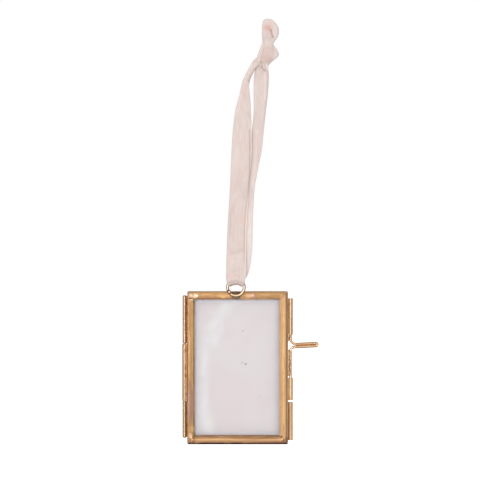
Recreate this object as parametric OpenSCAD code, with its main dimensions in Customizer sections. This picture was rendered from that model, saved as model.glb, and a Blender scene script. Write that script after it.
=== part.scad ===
// Hanging picture frame ornament, in millimetres.
// Two glazed brass halves open like a book on a wire hinge at the left. A bent wire
// bolt slides in tubes at the right, and a silk ribbon hangs the frame by a ring.
// X runs to the viewer's right, Y away from the viewer and Z up.
// The origin is where a hook bears, at the crown of the ribbon's long loop.

/* [Frame halves] */
// Width over the brass channel
frame_w = 51.6; // [40:0.1:110]
// Height over the brass channel
frame_h = 78.3; // [74:0.1:160]
// Thickness of the brass strip
strip_t = 0.45; // [0.3:0.05:0.6]
// Outer radius of the channel's two long bends
bend_r = 0.8; // [0.65:0.05:1.2]
// Radius of the channel's corners, seen from the front
corner_r = 0.9; // [0.3:0.1:2]
// Width of the left front lip
lip_left = 3.8; // [3:0.1:6]
// Width of the right front lip
lip_right = 4.3; // [3:0.1:6]
// Width of the top front lip
lip_top = 4.2; // [3:0.1:6]
// Width of the bottom front lip
lip_bottom = 4.9; // [3:0.1:6]
// Width of the inner lip, on all four sides
lip_inner = 2.6; // [1.5:0.1:2.8]
// Width of the hairline where two folded lips meet
seam_w = 0.14; // [0.1:0.02:0.3]
// Drop of the strip's butt joint below the top edge, at the top left corner
butt_drop = 3.6; // [2:0.1:3.9]
// Gap between the closed halves
halves_gap = 0.3; // [0.2:0.05:0.6]

/* [Panes and card] */
// Thickness of each glass pane
glass_t = 2; // [1.5:0.1:3]
// Play between pane and channel, at the edges
glass_edge_play = 0.2; // [0.1:0.05:0.4]
// Play between pane and channel, front and back
glass_face_play = 0.05; // [0.02:0.01:0.1]
// Thickness of the card behind the front pane
card_t = 0.35; // [0.2:0.05:0.4]
// Play between the card and the inner lips
card_play = 0.25; // [0.1:0.05:0.5]

/* [Hinge] */
// Diameter of the hinge pin wire
pin_d = 1.1; // [0.8:0.1:1.3]
// Radial clearance of the pin in the middle knuckle
pin_clear = 0.05; // [0.03:0.01:0.1]
// Outer diameter of the middle knuckle
middle_knuckle_d = 2.5; // [2.2:0.1:3]
// Outer diameter of the top and bottom knuckles
end_knuckle_d = 2.2; // [2:0.1:2.6]
// Drop of the top knuckle below the frame's top edge
hinge_top_drop = 2.4; // [1:0.1:8]
// Rise of the bottom knuckle above the frame's bottom edge
hinge_bottom_rise = 3.6; // [1:0.1:8]
// Length of the top knuckle
top_knuckle_l = 24.4; // [8:0.1:26]
// Length of the bottom knuckle
bottom_knuckle_l = 18.2; // [8:0.1:26]
// End gap between two knuckles
knuckle_gap = 0.2; // [0.1:0.05:0.5]
// Height of the pin's peened heads
pin_head_h = 0.4; // [0.2:0.05:0.8]

/* [Latch] */
// Diameter of the bolt wire
bolt_d = 1.4; // [1:0.1:1.6]
// Radial clearance of the bolt in its tubes
bolt_clear = 0.08; // [0.05:0.01:0.1]
// Outer diameter of the latch tubes
tube_d = 2.4; // [2.1:0.1:3]
// Gap between a tube and the side of the frame, filled by solder
side_gap = 0.15; // [0.1:0.01:0.3]
// Length of the upper guide
upper_guide_l = 18.7; // [14:0.1:24]
// Drop of the upper guide below the frame's top edge
upper_guide_drop = 3.6; // [1:0.1:6]
// Length of the lower guide
lower_guide_l = 11.4; // [6:0.1:13]
// Length of the keeper tube on the back half
keeper_l = 19.5; // [12:0.1:20]
// Rise of the keeper above the frame's bottom edge
keeper_rise = 2; // [1:0.1:4]
// End gap between the keeper and the lower guide
keeper_gap = 1; // [0.5:0.1:2]
// Radius of the upper bend of the bolt, at the wire's centre
upper_bend_r = 2.8; // [1.5:0.1:4]
// Radius of the lower bend of the bolt, at the wire's centre
lower_bend_r = 2; // [1.5:0.1:3]
// Straight wire that shows between the upper guide and the bolt's bend
shoulder_gap = 2; // [0.5:0.1:4]
// Reach of the finger pull from the bolt's axis
pull_reach = 14.4; // [10:0.1:20]
// Slope of the finger pull, in degrees
pull_slope = 2.8; // [0:0.1:8]
// Gap between the two wires of the finger pull
pull_gap = 0.1; // [0.05:0.01:0.5]
// Distance of the bolt's top end below the mouth of the upper guide
bolt_top_inset = 0.8; // [0.2:0.1:3]
// Distance of the bolt's tip above the foot of the lower guide
bolt_tip_inset = 0.6; // [0.3:0.1:3]

/* [Solder] */
// Spread of a solder fillet along the side of the frame
fillet_spread = 0.6; // [0.2:0.1:0.8]
// Radius of a corner's solder spot
spot_r = 1.7; // [1:0.1:1.9]
// Height of a corner's solder spot
spot_h = 0.22; // [0.1:0.02:0.4]

/* [Ring and ribbon] */
// Outer diameter of the hanging ring
ring_d = 10; // [9:0.1:14]
// Diameter of the ring's wire
ring_wire_d = 1.5; // [1:0.1:1.8]
// Height of the ring's centre above the frame's top edge
ring_rise = 2.1; // [1.5:0.1:3]
// Offset of the ring from the frame's centre line
ring_x = -0.9; // [-6:0.1:6]
// Direction of the ring's cut, in degrees from the right
ring_cut_at = 231; // [200:1:235]
// Width of the ring's cut
ring_cut_w = 0.25; // [0.1:0.05:0.6]
// Height of the ribbon's knot above the ring's centre
ribbon_drop = 118; // [80:1:200]
// Width of the ribbon's front strand where it spreads most
strand_w = 9.9; // [6:0.1:12]
// Thickness of a gathered strand
strand_t = 1.1; // [0.7:0.05:1.3]
// Depth of the strands' pleats
pleat_depth = 0.25; // [0:0.05:0.4]
// Thickness of the gathered rope that forms the knot
knot_rope_d = 3.6; // [2.6:0.1:4.2]
// Lean of the ribbon: how far its knot lies to the right of the ring
knot_lean = 16.1; // [0:0.1:24]

/* [Hidden] */
$fn = 48;
// Facets round a bent wire
wire_fn = 24;

// Colours as photographed
brass = [0.80, 0.63, 0.44];
bright_brass = [0.89, 0.73, 0.50];
solder_tone = [0.86, 0.72, 0.58];
pane_tone = [0.90, 0.90, 0.90, 0.35];
card_tone = [0.89, 0.87, 0.87];
silk = [0.88, 0.81, 0.78];

// Channel
half_d = 2 * strip_t + glass_t + 2 * glass_face_play;
half_y = (halves_gap + half_d) / 2;
face_y = halves_gap / 2 + half_d;
window_w = frame_w - lip_left - lip_right;
window_h = frame_h - lip_top - lip_bottom;
window_x = (lip_left - lip_right) / 2;
window_z = (lip_bottom - lip_top) / 2;
seam_start = 1.1 * bend_r;
// More than any cut is deep
through = 2 * half_d;

// Panes and card
glass_w = frame_w - 2 * (strip_t + glass_edge_play);
glass_h = frame_h - 2 * (strip_t + glass_edge_play);
card_w = frame_w - 2 * (lip_inner + card_play);
card_h = frame_h - 2 * (lip_inner + card_play);
card_y = -face_y + strip_t + glass_face_play + glass_t + card_t / 2;

// Hinge
hinge_x = -frame_w / 2 - side_gap - middle_knuckle_d / 2;
bottom_knuckle_z = hinge_bottom_rise;
top_knuckle_z = frame_h - hinge_top_drop - top_knuckle_l;
middle_knuckle_z = bottom_knuckle_z + bottom_knuckle_l + knuckle_gap;
middle_knuckle_l = top_knuckle_z - knuckle_gap - middle_knuckle_z;
pin_head_r = end_knuckle_d / 2 - 0.1;

// Latch
latch_x = frame_w / 2 + side_gap + tube_d / 2;
tube_bore_d = bolt_d + 2 * bolt_clear;
upper_guide_z = frame_h - upper_guide_drop - upper_guide_l;
lower_guide_z = keeper_rise + keeper_l + keeper_gap;
turn_r = (bolt_d + pull_gap) / 2;
upper_leg_l = upper_guide_l - bolt_top_inset + shoulder_gap;
pull_out_l = (pull_reach - upper_bend_r * (1 + sin(pull_slope))) / cos(pull_slope)
    - turn_r - bolt_d / 2;
pull_back_l = pull_out_l + (upper_bend_r * (1 + sin(pull_slope))
    - lower_bend_r * (1 - sin(pull_slope)) + 2 * turn_r * sin(pull_slope)) / cos(pull_slope);
// Height that the wire loses from the end of the upper leg to the start of the lower one
pull_fall = (upper_bend_r + lower_bend_r + 2 * turn_r) * cos(pull_slope)
    + (pull_back_l - pull_out_l) * sin(pull_slope);
lower_leg_l = upper_guide_z - shoulder_gap - pull_fall - lower_guide_z - bolt_tip_inset;

// Ring
ring_r = (ring_d - ring_wire_d) / 2;
ring_seat_gap = 0.05;
ring_y = -face_y - ring_seat_gap - ring_wire_d / 2;
ring_z = frame_h + ring_rise;
ring_centre = [ring_x, ring_y, ring_z];
ring_solder_r = 1.4 * ring_wire_d;
ring_solder_h = 0.45 * ring_wire_d;
ring_solder_z = ring_z - ring_r + ring_wire_d / 15;

// Ribbon
// How far a strand's middle lies before or behind the ring's plane, clear of its wire
strand_clear = (ring_wire_d + strand_t) / 2;
// Each row of a route gives the middle of the gathered cloth from the ring's centre, in
// shares of knot_lean, strand_clear and ribbon_drop, then the way that its face looks,
// its width as a share of strand_w, and its thickness and how far its edges bend
// towards the face as shares of strand_t.
loop_route = [
    [0.975, -0.23, 1.005, 0, -1, 0, 0.3, 1.8, 0],
    [0.814, -0.62, 0.992, 0, -1, 0, 0.32, 1.8, 0],
    [0.64, -0.77, 0.974, 0, -1, 0, 0.34, 1.6, 0],
    [0.478, -0.85, 0.938, 0, -1, 0, 0.34, 1.5, 0],
    [0.36, -0.85, 0.905, 0, -1, 0, 0.36, 1.4, 0],
    [0.298, -0.85, 0.87, 0, -1, 0, 0.42, 1.2, 0],
    [0.273, -0.85, 0.82, 0, -1, 0, 0.6, 1, 0],
    [0.227, -0.92, 0.76, 0, -1, 0, 0.83, 1, 0],
    [0.199, -1, 0.68, 0, -1, 0, 0.97, 1, 0],
    [0.155, -1, 0.55, 0, -1, 0, 1, 1, 0],
    [0.084, -1, 0.42, 0, -1, 0, 0.91, 1, 0],
    [0.025, -1.08, 0.29, 0, -1, 0, 0.92, 1, 0],
    [-0.012, -1.15, 0.16, 0, -1, 0, 0.94, 1, 0],
    [-0.043, -1.23, 0.075, 0, -1, 0, 0.87, 1, 0],
    [-0.031, -1.31, 0.044, 0, -1, 0, 0.75, 1, 0.09],
    [-0.012, -1, 0.026, 0, -0.8, -0.6, 0.58, 0.9, 1],
    [0, 0, 0.02, 0, 0, -1, 0.5, 0.8, 1.55],
    [0.019, 1, 0.026, 0, 0.8, -0.6, 0.5, 0.9, 1],
    [0.124, 1.31, 0.044, 0, 1, 0, 0.55, 1, 0.09],
    [0.242, 1.23, 0.075, 0, 1, 0, 0.6, 1, 0],
    [0.323, 1.08, 0.16, 0, 1, 0, 0.62, 1, 0],
    [0.354, 1, 0.29, 0, 1, 0, 0.62, 1, 0],
    [0.398, 0.92, 0.42, 0, 1, 0, 0.62, 1, 0],
    [0.528, 0.85, 0.51, 0, 1, 0, 0.56, 1, 0],
    [0.64, 0.77, 0.6, 0, 1, 0, 0.61, 1, 0],
    [0.708, 0.69, 0.69, 0, 1, 0, 0.61, 1, 0],
    [0.758, 0.62, 0.765, 0, 1, 0, 0.63, 1, 0],
    [0.789, 0.54, 0.84, 0, 1, 0, 0.75, 1, 0],
    [0.814, 0.46, 0.915, 0, 1, 0, 0.76, 1, 0],
    [0.832, 0.38, 0.958, 0, 1, 0, 0.58, 1.2, 0],
    [0.932, 0.23, 1, 0, 1, 0, 0.36, 1.6, 0]];
tuft_route = [
    [0.994, -0.15, 1.02, 0, -1, 0, 0.44, 1.4, 0],
    [0.975, -0.46, 1.06, 0, -1, 0, 0.47, 1.3, 0],
    [0.969, -0.62, 1.105, 0, -1, 0, 0.47, 1.2, 0],
    [1.006, -0.46, 1.134, 0, -1, 0, 0.44, 1.2, 0],
    [1.13, -0.08, 1.144, 0, -1, 0, 0.42, 1.2, 0],
    [1.248, 0.31, 1.128, 0, -1, 0, 0.34, 1.2, 0],
    [1.267, 0.38, 1.103, 0, -1, 0, 0.32, 1.3, 0],
    [1.211, 0.31, 1.072, 0, -1, 0, 0.3, 1.4, 0],
    [1.081, 0.15, 1.035, 0, -1, 0, 0.3, 1.5, 0]];
route_steps = 3;
// Points across the cloth on each side
strip_points = 7;
pleats = 1.5;
// The knot: how far it is above the strands' upper ends, its reach and its depth
knot_rise = knot_rope_d / 9;
knot_tip_r = 0.6 * strand_w;
knot_depth = knot_rope_d / 4;
knot_turn = -38;
knot_steps = 20;
// Where a hook bears, from the ring's centre: between the strands, under the knot
crown_share = [0.553, 0, 0.932];
hang_point = ring_centre + [crown_share[0] * knot_lean, 0, crown_share[2] * ribbon_drop];

function unit(v) = v / norm(v);

// A smooth curve through four neighbours, between the second and the third
function between(a, b, c, d, t) =
    (2 * b + (c - a) * t + (2 * a - 5 * b + 4 * c - d) * t * t
    + (3 * b - a - 3 * c + d) * t * t * t) / 2;

function smooth_route(rows) = let(last = len(rows) - 1) [
    for (i = [0:last - 1], k = [0:route_steps - 1])
        between(rows[max(i - 1, 0)], rows[i], rows[i + 1], rows[min(i + 2, last)],
            k / route_steps),
    rows[last]];

function place_of(row) = ring_centre
    + [row[0] * knot_lean, row[1] * strand_clear, row[2] * ribbon_drop];
function face_of(row) = [row[3], row[4], row[5]];

// Outline of the gathered cloth: across the face, then back along the other side
function strip_outline(w, t, curl) = [
    for (side = [1, -1], j = [0:strip_points - 1])
        let(u = side * (j / (strip_points - 1) - 0.5))
        [w * u, side * t / 2 * (1 - 2 * u * u) + curl * 4 * u * u
            + pleat_depth * cos(360 * pleats * u)]];

function strip_ring(rows, i) = let(
    row = rows[i],
    along = place_of(rows[min(i + 1, len(rows) - 1)]) - place_of(rows[max(i - 1, 0)]),
    across = unit(cross(face_of(row), along)),
    out = unit(cross(along, across))) [
    for (q = strip_outline(row[6] * strand_w, row[7] * strand_t, row[8] * strand_t))
        place_of(row) + across * q[0] + out * q[1]];

// Draws what is inside it from the hanging point
module from_hook() {
    translate(-hang_point) children();
}

module round_rect(w, h, r) {
    square([w - 2 * r, h], center = true);
    square([w, h - 2 * r], center = true);
    for (x = [-1, 1], y = [-1, 1])
        translate([x * (w / 2 - r), y * (h / 2 - r)]) circle(r = r);
}

// Flat block whose long edges are rounded by r on both faces
module slab(w, h, d, r) {
    intersection() {
        rotate([90, 0, 90]) linear_extrude(height = w, center = true) round_rect(d, h, r);
        linear_extrude(height = h, center = true) round_rect(w, d, r);
    }
}

// Hairline through both lips, from near the channel's corner to the window's corner
module mitre_seam(x_side, z_side, lip_x, lip_z) {
    translate([x_side * frame_w / 2, 0, z_side * frame_h / 2])
        rotate([0, -atan2(-z_side * lip_z, -x_side * lip_x), 0])
            translate([seam_start * sqrt(2), -through / 2, -seam_w / 2])
                cube([norm([lip_x, lip_z]), through, seam_w]);
}

// One channel folded from a strip, drawn about its own centre with its front lip at -Y
module channel() {
    difference() {
        intersection() {
            slab(frame_w, frame_h, half_d, bend_r);
            rotate([90, 0, 0]) linear_extrude(height = through, center = true)
                round_rect(frame_w, frame_h, corner_r);
        }
        slab(frame_w - 2 * strip_t, frame_h - 2 * strip_t, half_d - 2 * strip_t,
            bend_r - strip_t);
        translate([window_x - window_w / 2, -through, window_z - window_h / 2])
            cube([window_w, through, window_h]);
        translate([lip_inner - frame_w / 2, 0, lip_inner - frame_h / 2])
            cube([frame_w - 2 * lip_inner, through, frame_h - 2 * lip_inner]);
        mitre_seam(1, 1, lip_right, lip_top);
        mitre_seam(1, -1, lip_right, lip_bottom);
        mitre_seam(-1, -1, lip_left, lip_bottom);
        translate([seam_start - frame_w / 2, -through / 2, frame_h / 2 - butt_drop])
            cube([lip_left, through, seam_w]);
    }
}

module at_front() {
    translate([0, -half_y, frame_h / 2]) children();
}

// The back half is the front half's mirror image
module at_back() {
    mirror([0, 1, 0]) at_front() children();
}

module pane() {
    cube([glass_w, glass_t, glass_h], center = true);
}

// Low dome of solder on the outer face of a half, as a turned profile
module solder_spot(x, z, r, h) {
    steps = 4;
    translate([x, -half_d / 2, z]) rotate([90, 0, 0]) rotate_extrude($fn = wire_fn)
        polygon([[0, 0], [r, 0], for (k = [1:steps]) let(a = 90 * k / steps)
            [k < steps ? r * cos(a) : 0, h * sin(a) * sin(a)]]);
}

module corner_spots() {
    inset = spot_r + bend_r / 2;
    solder_spot(inset - frame_w / 2, frame_h / 2 - butt_drop / 2, spot_r - 0.2, spot_h);
    solder_spot(inset - frame_w / 2, inset - frame_h / 2, spot_r, spot_h);
    solder_spot(frame_w / 2 - inset, inset - frame_h / 2, spot_r, spot_h);
}

// Tube with a true bore and a broken outer edge at each end
module tube(od, id, l) {
    edge = 0.12;
    rotate_extrude() polygon([[id / 2, 0], [od / 2 - edge, 0], [od / 2, edge],
        [od / 2, l - edge], [od / 2 - edge, l], [id / 2, l]]);
}

// Solder between a tube and the side of the front half, for a tube at the right
module fillet(axis_x, tube_r, l) {
    side = frame_w / 2;
    foot = tube_r + fillet_spread;
    linear_extrude(height = l) difference() {
        polygon([[side - bend_r, -halves_gap / 2], [axis_x, -halves_gap / 2],
            [axis_x, -tube_r], [axis_x - tube_r / 3, -tube_r], [side, -foot],
            [side - bend_r, -foot]]);
        translate([axis_x, 0]) circle(r = tube_r);
        translate([0, -half_y]) round_rect(frame_w, half_d, bend_r);
    }
}

// Straight stretches of round wire joined by bends, along +X and turning about +Z.
// Each step is a length, a turn in degrees, positive to the left, and its radius.
module bent_wire(d, steps, i = 0) {
    $fn = wire_fn;
    rotate([0, 90, 0]) cylinder(d = d, h = steps[i][0]);
    turn = steps[i][1];
    if (turn != 0) translate([steps[i][0], 0, 0]) {
        hand = sign(turn);
        radius = steps[i][2];
        mirror([0, hand < 0 ? 1 : 0, 0]) translate([0, radius, 0]) rotate([0, 0, -90])
            rotate_extrude(angle = abs(turn)) translate([radius, 0]) circle(d = d);
        translate([0, hand * radius, 0]) rotate([0, 0, turn])
            translate([0, -hand * radius, 0]) bent_wire(d, steps, i + 1);
    }
}

// Closed skin over the outlines of a smooth route
module gathered_strip(route) {
    rows = smooth_route(route);
    n = 2 * strip_points;
    last = len(rows) - 1;
    skin = [for (i = [0:last]) each strip_ring(rows, i)];
    walls = [for (i = [0:last - 1], j = [0:n - 1]) let(
        a = i * n + j, b = i * n + (j + 1) % n, c = b + n, d = a + n)
        each [[a, b, c], [a, c, d]]];
    caps = [for (end = [0, last], j = [0:strip_points - 2]) let(
        a = end * n + j, b = a + 1, d = end * n + n - 1 - j, c = d - 1)
        each (end == 0 ? [[a, c, b], [a, d, c]] : [[a, b, c], [a, c, d]])];
    polyhedron(points = skin, faces = concat(walls, caps), convexity = 6);
}

// An overhand knot's three lobes, as a closed curve that crosses itself three times
function knot_point(a) = let(
    scale_r = (knot_tip_r - knot_rope_d / 2) / 3,
    x = scale_r * (sin(a) + 2 * sin(2 * a)),
    z = scale_r * (cos(a) - 2 * cos(2 * a)))
    place_of([1, 0, 1]) + [x * cos(knot_turn) - z * sin(knot_turn),
        -knot_depth * sin(3 * a), x * sin(knot_turn) + z * cos(knot_turn) + knot_rise];

module knot() {
    for (i = [0:knot_steps - 1]) hull() {
        for (k = [i, i + 1]) translate(knot_point(360 * k / knot_steps))
            sphere(d = knot_rope_d, $fn = 8);
    }
}

module front_frame() {
    color(brass) from_hook() at_front() channel();
}

module front_glass() {
    color(pane_tone) from_hook() at_front() pane();
}

module insert_card() {
    color(card_tone) from_hook() translate([0, card_y, frame_h / 2])
        cube([card_w, card_t, card_h], center = true);
}

module front_corner_solder() {
    color(solder_tone) from_hook() at_front() corner_spots();
}

module ring_wire() {
    cut = 2 * asin(ring_cut_w / (2 * ring_r));
    translate(ring_centre) rotate([90, 0, 0]) rotate([0, 0, ring_cut_at + cut / 2])
        rotate_extrude(angle = 360 - cut, $fn = wire_fn)
            translate([ring_r, 0]) circle(d = ring_wire_d, $fn = wire_fn);
}

module hanging_ring() {
    color(bright_brass) from_hook() ring_wire();
}

module ring_solder() {
    color(solder_tone) from_hook() difference() {
        at_front() solder_spot(ring_x, ring_solder_z - frame_h / 2, ring_solder_r,
            ring_solder_h);
        ring_wire();
    }
}

module ribbon() {
    color(silk) from_hook() {
        gathered_strip(loop_route);
        gathered_strip(tuft_route);
        knot();
    }
}

module bolt_guide_upper() {
    color(bright_brass) from_hook() translate([latch_x, 0, upper_guide_z])
        tube(tube_d, tube_bore_d, upper_guide_l);
}

module bolt_guide_lower() {
    color(bright_brass) from_hook() translate([latch_x, 0, lower_guide_z])
        tube(tube_d, tube_bore_d, lower_guide_l);
}

module bolt_guide_solder() {
    color(solder_tone) from_hook() {
        translate([0, 0, upper_guide_z]) fillet(latch_x, tube_d / 2, upper_guide_l);
        translate([0, 0, lower_guide_z]) fillet(latch_x, tube_d / 2, lower_guide_l);
    }
}

module hinge_knuckle_middle() {
    color(brass) from_hook() translate([hinge_x, 0, middle_knuckle_z])
        tube(middle_knuckle_d, pin_d + 2 * pin_clear, middle_knuckle_l);
}

module hinge_middle_solder() {
    color(solder_tone) from_hook() translate([0, 0, middle_knuckle_z]) mirror([1, 0, 0])
        fillet(-hinge_x, middle_knuckle_d / 2, middle_knuckle_l);
}

module latch_bolt() {
    color(bright_brass) from_hook()
        translate([latch_x, 0, upper_guide_z + upper_guide_l - bolt_top_inset])
            rotate([90, 90, 0]) bent_wire(bolt_d, [
                [upper_leg_l, 90 + pull_slope, upper_bend_r],
                [pull_out_l, -180, turn_r],
                [pull_back_l, 90 - pull_slope, lower_bend_r],
                [lower_leg_l, 0, 0]]);
}

module back_frame() {
    color(brass) from_hook() at_back() channel();
}

module back_glass() {
    color(pane_tone) from_hook() at_back() pane();
}

module back_corner_solder() {
    color(solder_tone) from_hook() at_back() corner_spots();
}

module bolt_keeper() {
    color(brass) from_hook() translate([latch_x, 0, keeper_rise])
        tube(tube_d, tube_bore_d, keeper_l);
}

module keeper_solder() {
    color(solder_tone) from_hook() translate([0, 0, keeper_rise]) mirror([0, 1, 0])
        fillet(latch_x, tube_d / 2, keeper_l);
}

module hinge_knuckle_top() {
    color(brass) from_hook() translate([hinge_x, 0, top_knuckle_z])
        tube(end_knuckle_d, pin_d, top_knuckle_l);
}

module hinge_knuckle_bottom() {
    color(brass) from_hook() translate([hinge_x, 0, bottom_knuckle_z])
        tube(end_knuckle_d, pin_d, bottom_knuckle_l);
}

module hinge_end_solder() {
    color(solder_tone) from_hook() mirror([0, 1, 0]) mirror([1, 0, 0]) {
        translate([0, 0, top_knuckle_z])
            fillet(-hinge_x, end_knuckle_d / 2, top_knuckle_l);
        translate([0, 0, bottom_knuckle_z])
            fillet(-hinge_x, end_knuckle_d / 2, bottom_knuckle_l);
    }
}

// Wire with a peened head at each end, as a turned profile
module hinge_pin() {
    foot = bottom_knuckle_z;
    top = top_knuckle_z + top_knuckle_l;
    color(brass) from_hook() translate([hinge_x, 0, 0]) rotate_extrude() polygon([
        [0, foot - pin_head_h], [pin_head_r * 0.6, foot - pin_head_h],
        [pin_head_r, foot - pin_head_h / 2], [pin_head_r, foot], [pin_d / 2, foot],
        [pin_d / 2, top], [pin_head_r, top], [pin_head_r, top + pin_head_h / 2],
        [pin_head_r * 0.6, top + pin_head_h], [0, top + pin_head_h]]);
}

front_frame();
front_glass();
insert_card();
front_corner_solder();
hanging_ring();
ring_solder();
ribbon();
bolt_guide_upper();
bolt_guide_lower();
bolt_guide_solder();
hinge_knuckle_middle();
hinge_middle_solder();
latch_bolt();
back_frame();
back_glass();
back_corner_solder();
bolt_keeper();
keeper_solder();
hinge_knuckle_top();
hinge_knuckle_bottom();
hinge_end_solder();
hinge_pin();
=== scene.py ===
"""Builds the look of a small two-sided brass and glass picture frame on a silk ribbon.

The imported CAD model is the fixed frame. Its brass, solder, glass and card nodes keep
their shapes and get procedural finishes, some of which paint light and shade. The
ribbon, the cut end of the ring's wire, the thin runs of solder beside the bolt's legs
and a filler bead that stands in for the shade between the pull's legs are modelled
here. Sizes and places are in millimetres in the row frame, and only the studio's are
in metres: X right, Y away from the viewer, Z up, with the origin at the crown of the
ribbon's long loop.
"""

import logging
import math
from collections.abc import Sequence
from dataclasses import dataclass, field, replace
from enum import Enum

import bpy
import numpy as np
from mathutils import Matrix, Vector


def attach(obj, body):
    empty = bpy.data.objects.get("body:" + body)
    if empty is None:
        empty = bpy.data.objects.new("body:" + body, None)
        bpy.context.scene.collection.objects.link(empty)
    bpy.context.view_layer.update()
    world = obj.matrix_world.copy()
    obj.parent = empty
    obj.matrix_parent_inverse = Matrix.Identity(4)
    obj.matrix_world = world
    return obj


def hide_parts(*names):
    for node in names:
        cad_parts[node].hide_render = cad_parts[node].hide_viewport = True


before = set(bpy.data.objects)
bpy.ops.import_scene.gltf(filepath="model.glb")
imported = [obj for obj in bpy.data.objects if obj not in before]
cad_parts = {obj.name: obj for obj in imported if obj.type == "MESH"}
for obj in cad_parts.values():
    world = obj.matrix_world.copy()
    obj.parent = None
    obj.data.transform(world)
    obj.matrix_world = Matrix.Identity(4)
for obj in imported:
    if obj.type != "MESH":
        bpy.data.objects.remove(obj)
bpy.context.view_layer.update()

LOG = logging.getLogger("frame_ornament")
MM = 0.001
TURN = 2 * math.pi
# The photograph's scale, the pixel column of the frame's middle and the row of its foot
MM_PER_PIXEL = 0.511
FRAME_MIDDLE_PIXEL = 237.6
FRAME_FOOT_PIXEL = 444.6
# The hang point's place from the middle of the frame's foot, and the frame's half sizes
HANG_POINT_MM = (8.0, -3.95, 190.376)
HALF_WIDTH_MM = 25.8
HALF_HEIGHT_MM = 39.15

Colour = tuple[float, float, float, float]
Stops = tuple[tuple[float, Colour], ...]
Table = tuple[tuple[float, ...], ...]
Socket = bpy.types.NodeSocket
Input = Socket | float | Sequence[float]


class Side(Enum):
    """The long sides of the frame that the tubes are soldered to."""

    HINGE = -1
    LATCH = 1


def srgb(red: float, green: float, blue: float) -> Colour:
    """Turns a display colour into the linear colour that shaders take.

    The curve is straight near black and a power of 2.4 above that.

    Args:
        red: the red channel, 0 to 255.
        green: the green channel.
        blue: the blue channel.

    Returns:
        Linear red, green and blue from 0 to 1, with full alpha.
    """
    share = np.array([red, green, blue]) / 255
    linear = np.where(share <= 0.04045, share / 12.92, ((share + 0.055) / 1.055) ** 2.4)
    return (*linear.tolist(), 1.0)


def row_place(pixel_x: float, pixel_y: float) -> tuple[float, float]:
    """Gives a pixel's place in the row frame.

    Args:
        pixel_x: distance from the photograph's left edge.
        pixel_y: distance from its top edge.

    Returns:
        The X and Z of that place in millimetres.
    """
    x = (pixel_x - FRAME_MIDDLE_PIXEL) * MM_PER_PIXEL - HANG_POINT_MM[0]
    z = (FRAME_FOOT_PIXEL - pixel_y) * MM_PER_PIXEL - HANG_POINT_MM[2]
    return x, z


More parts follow.
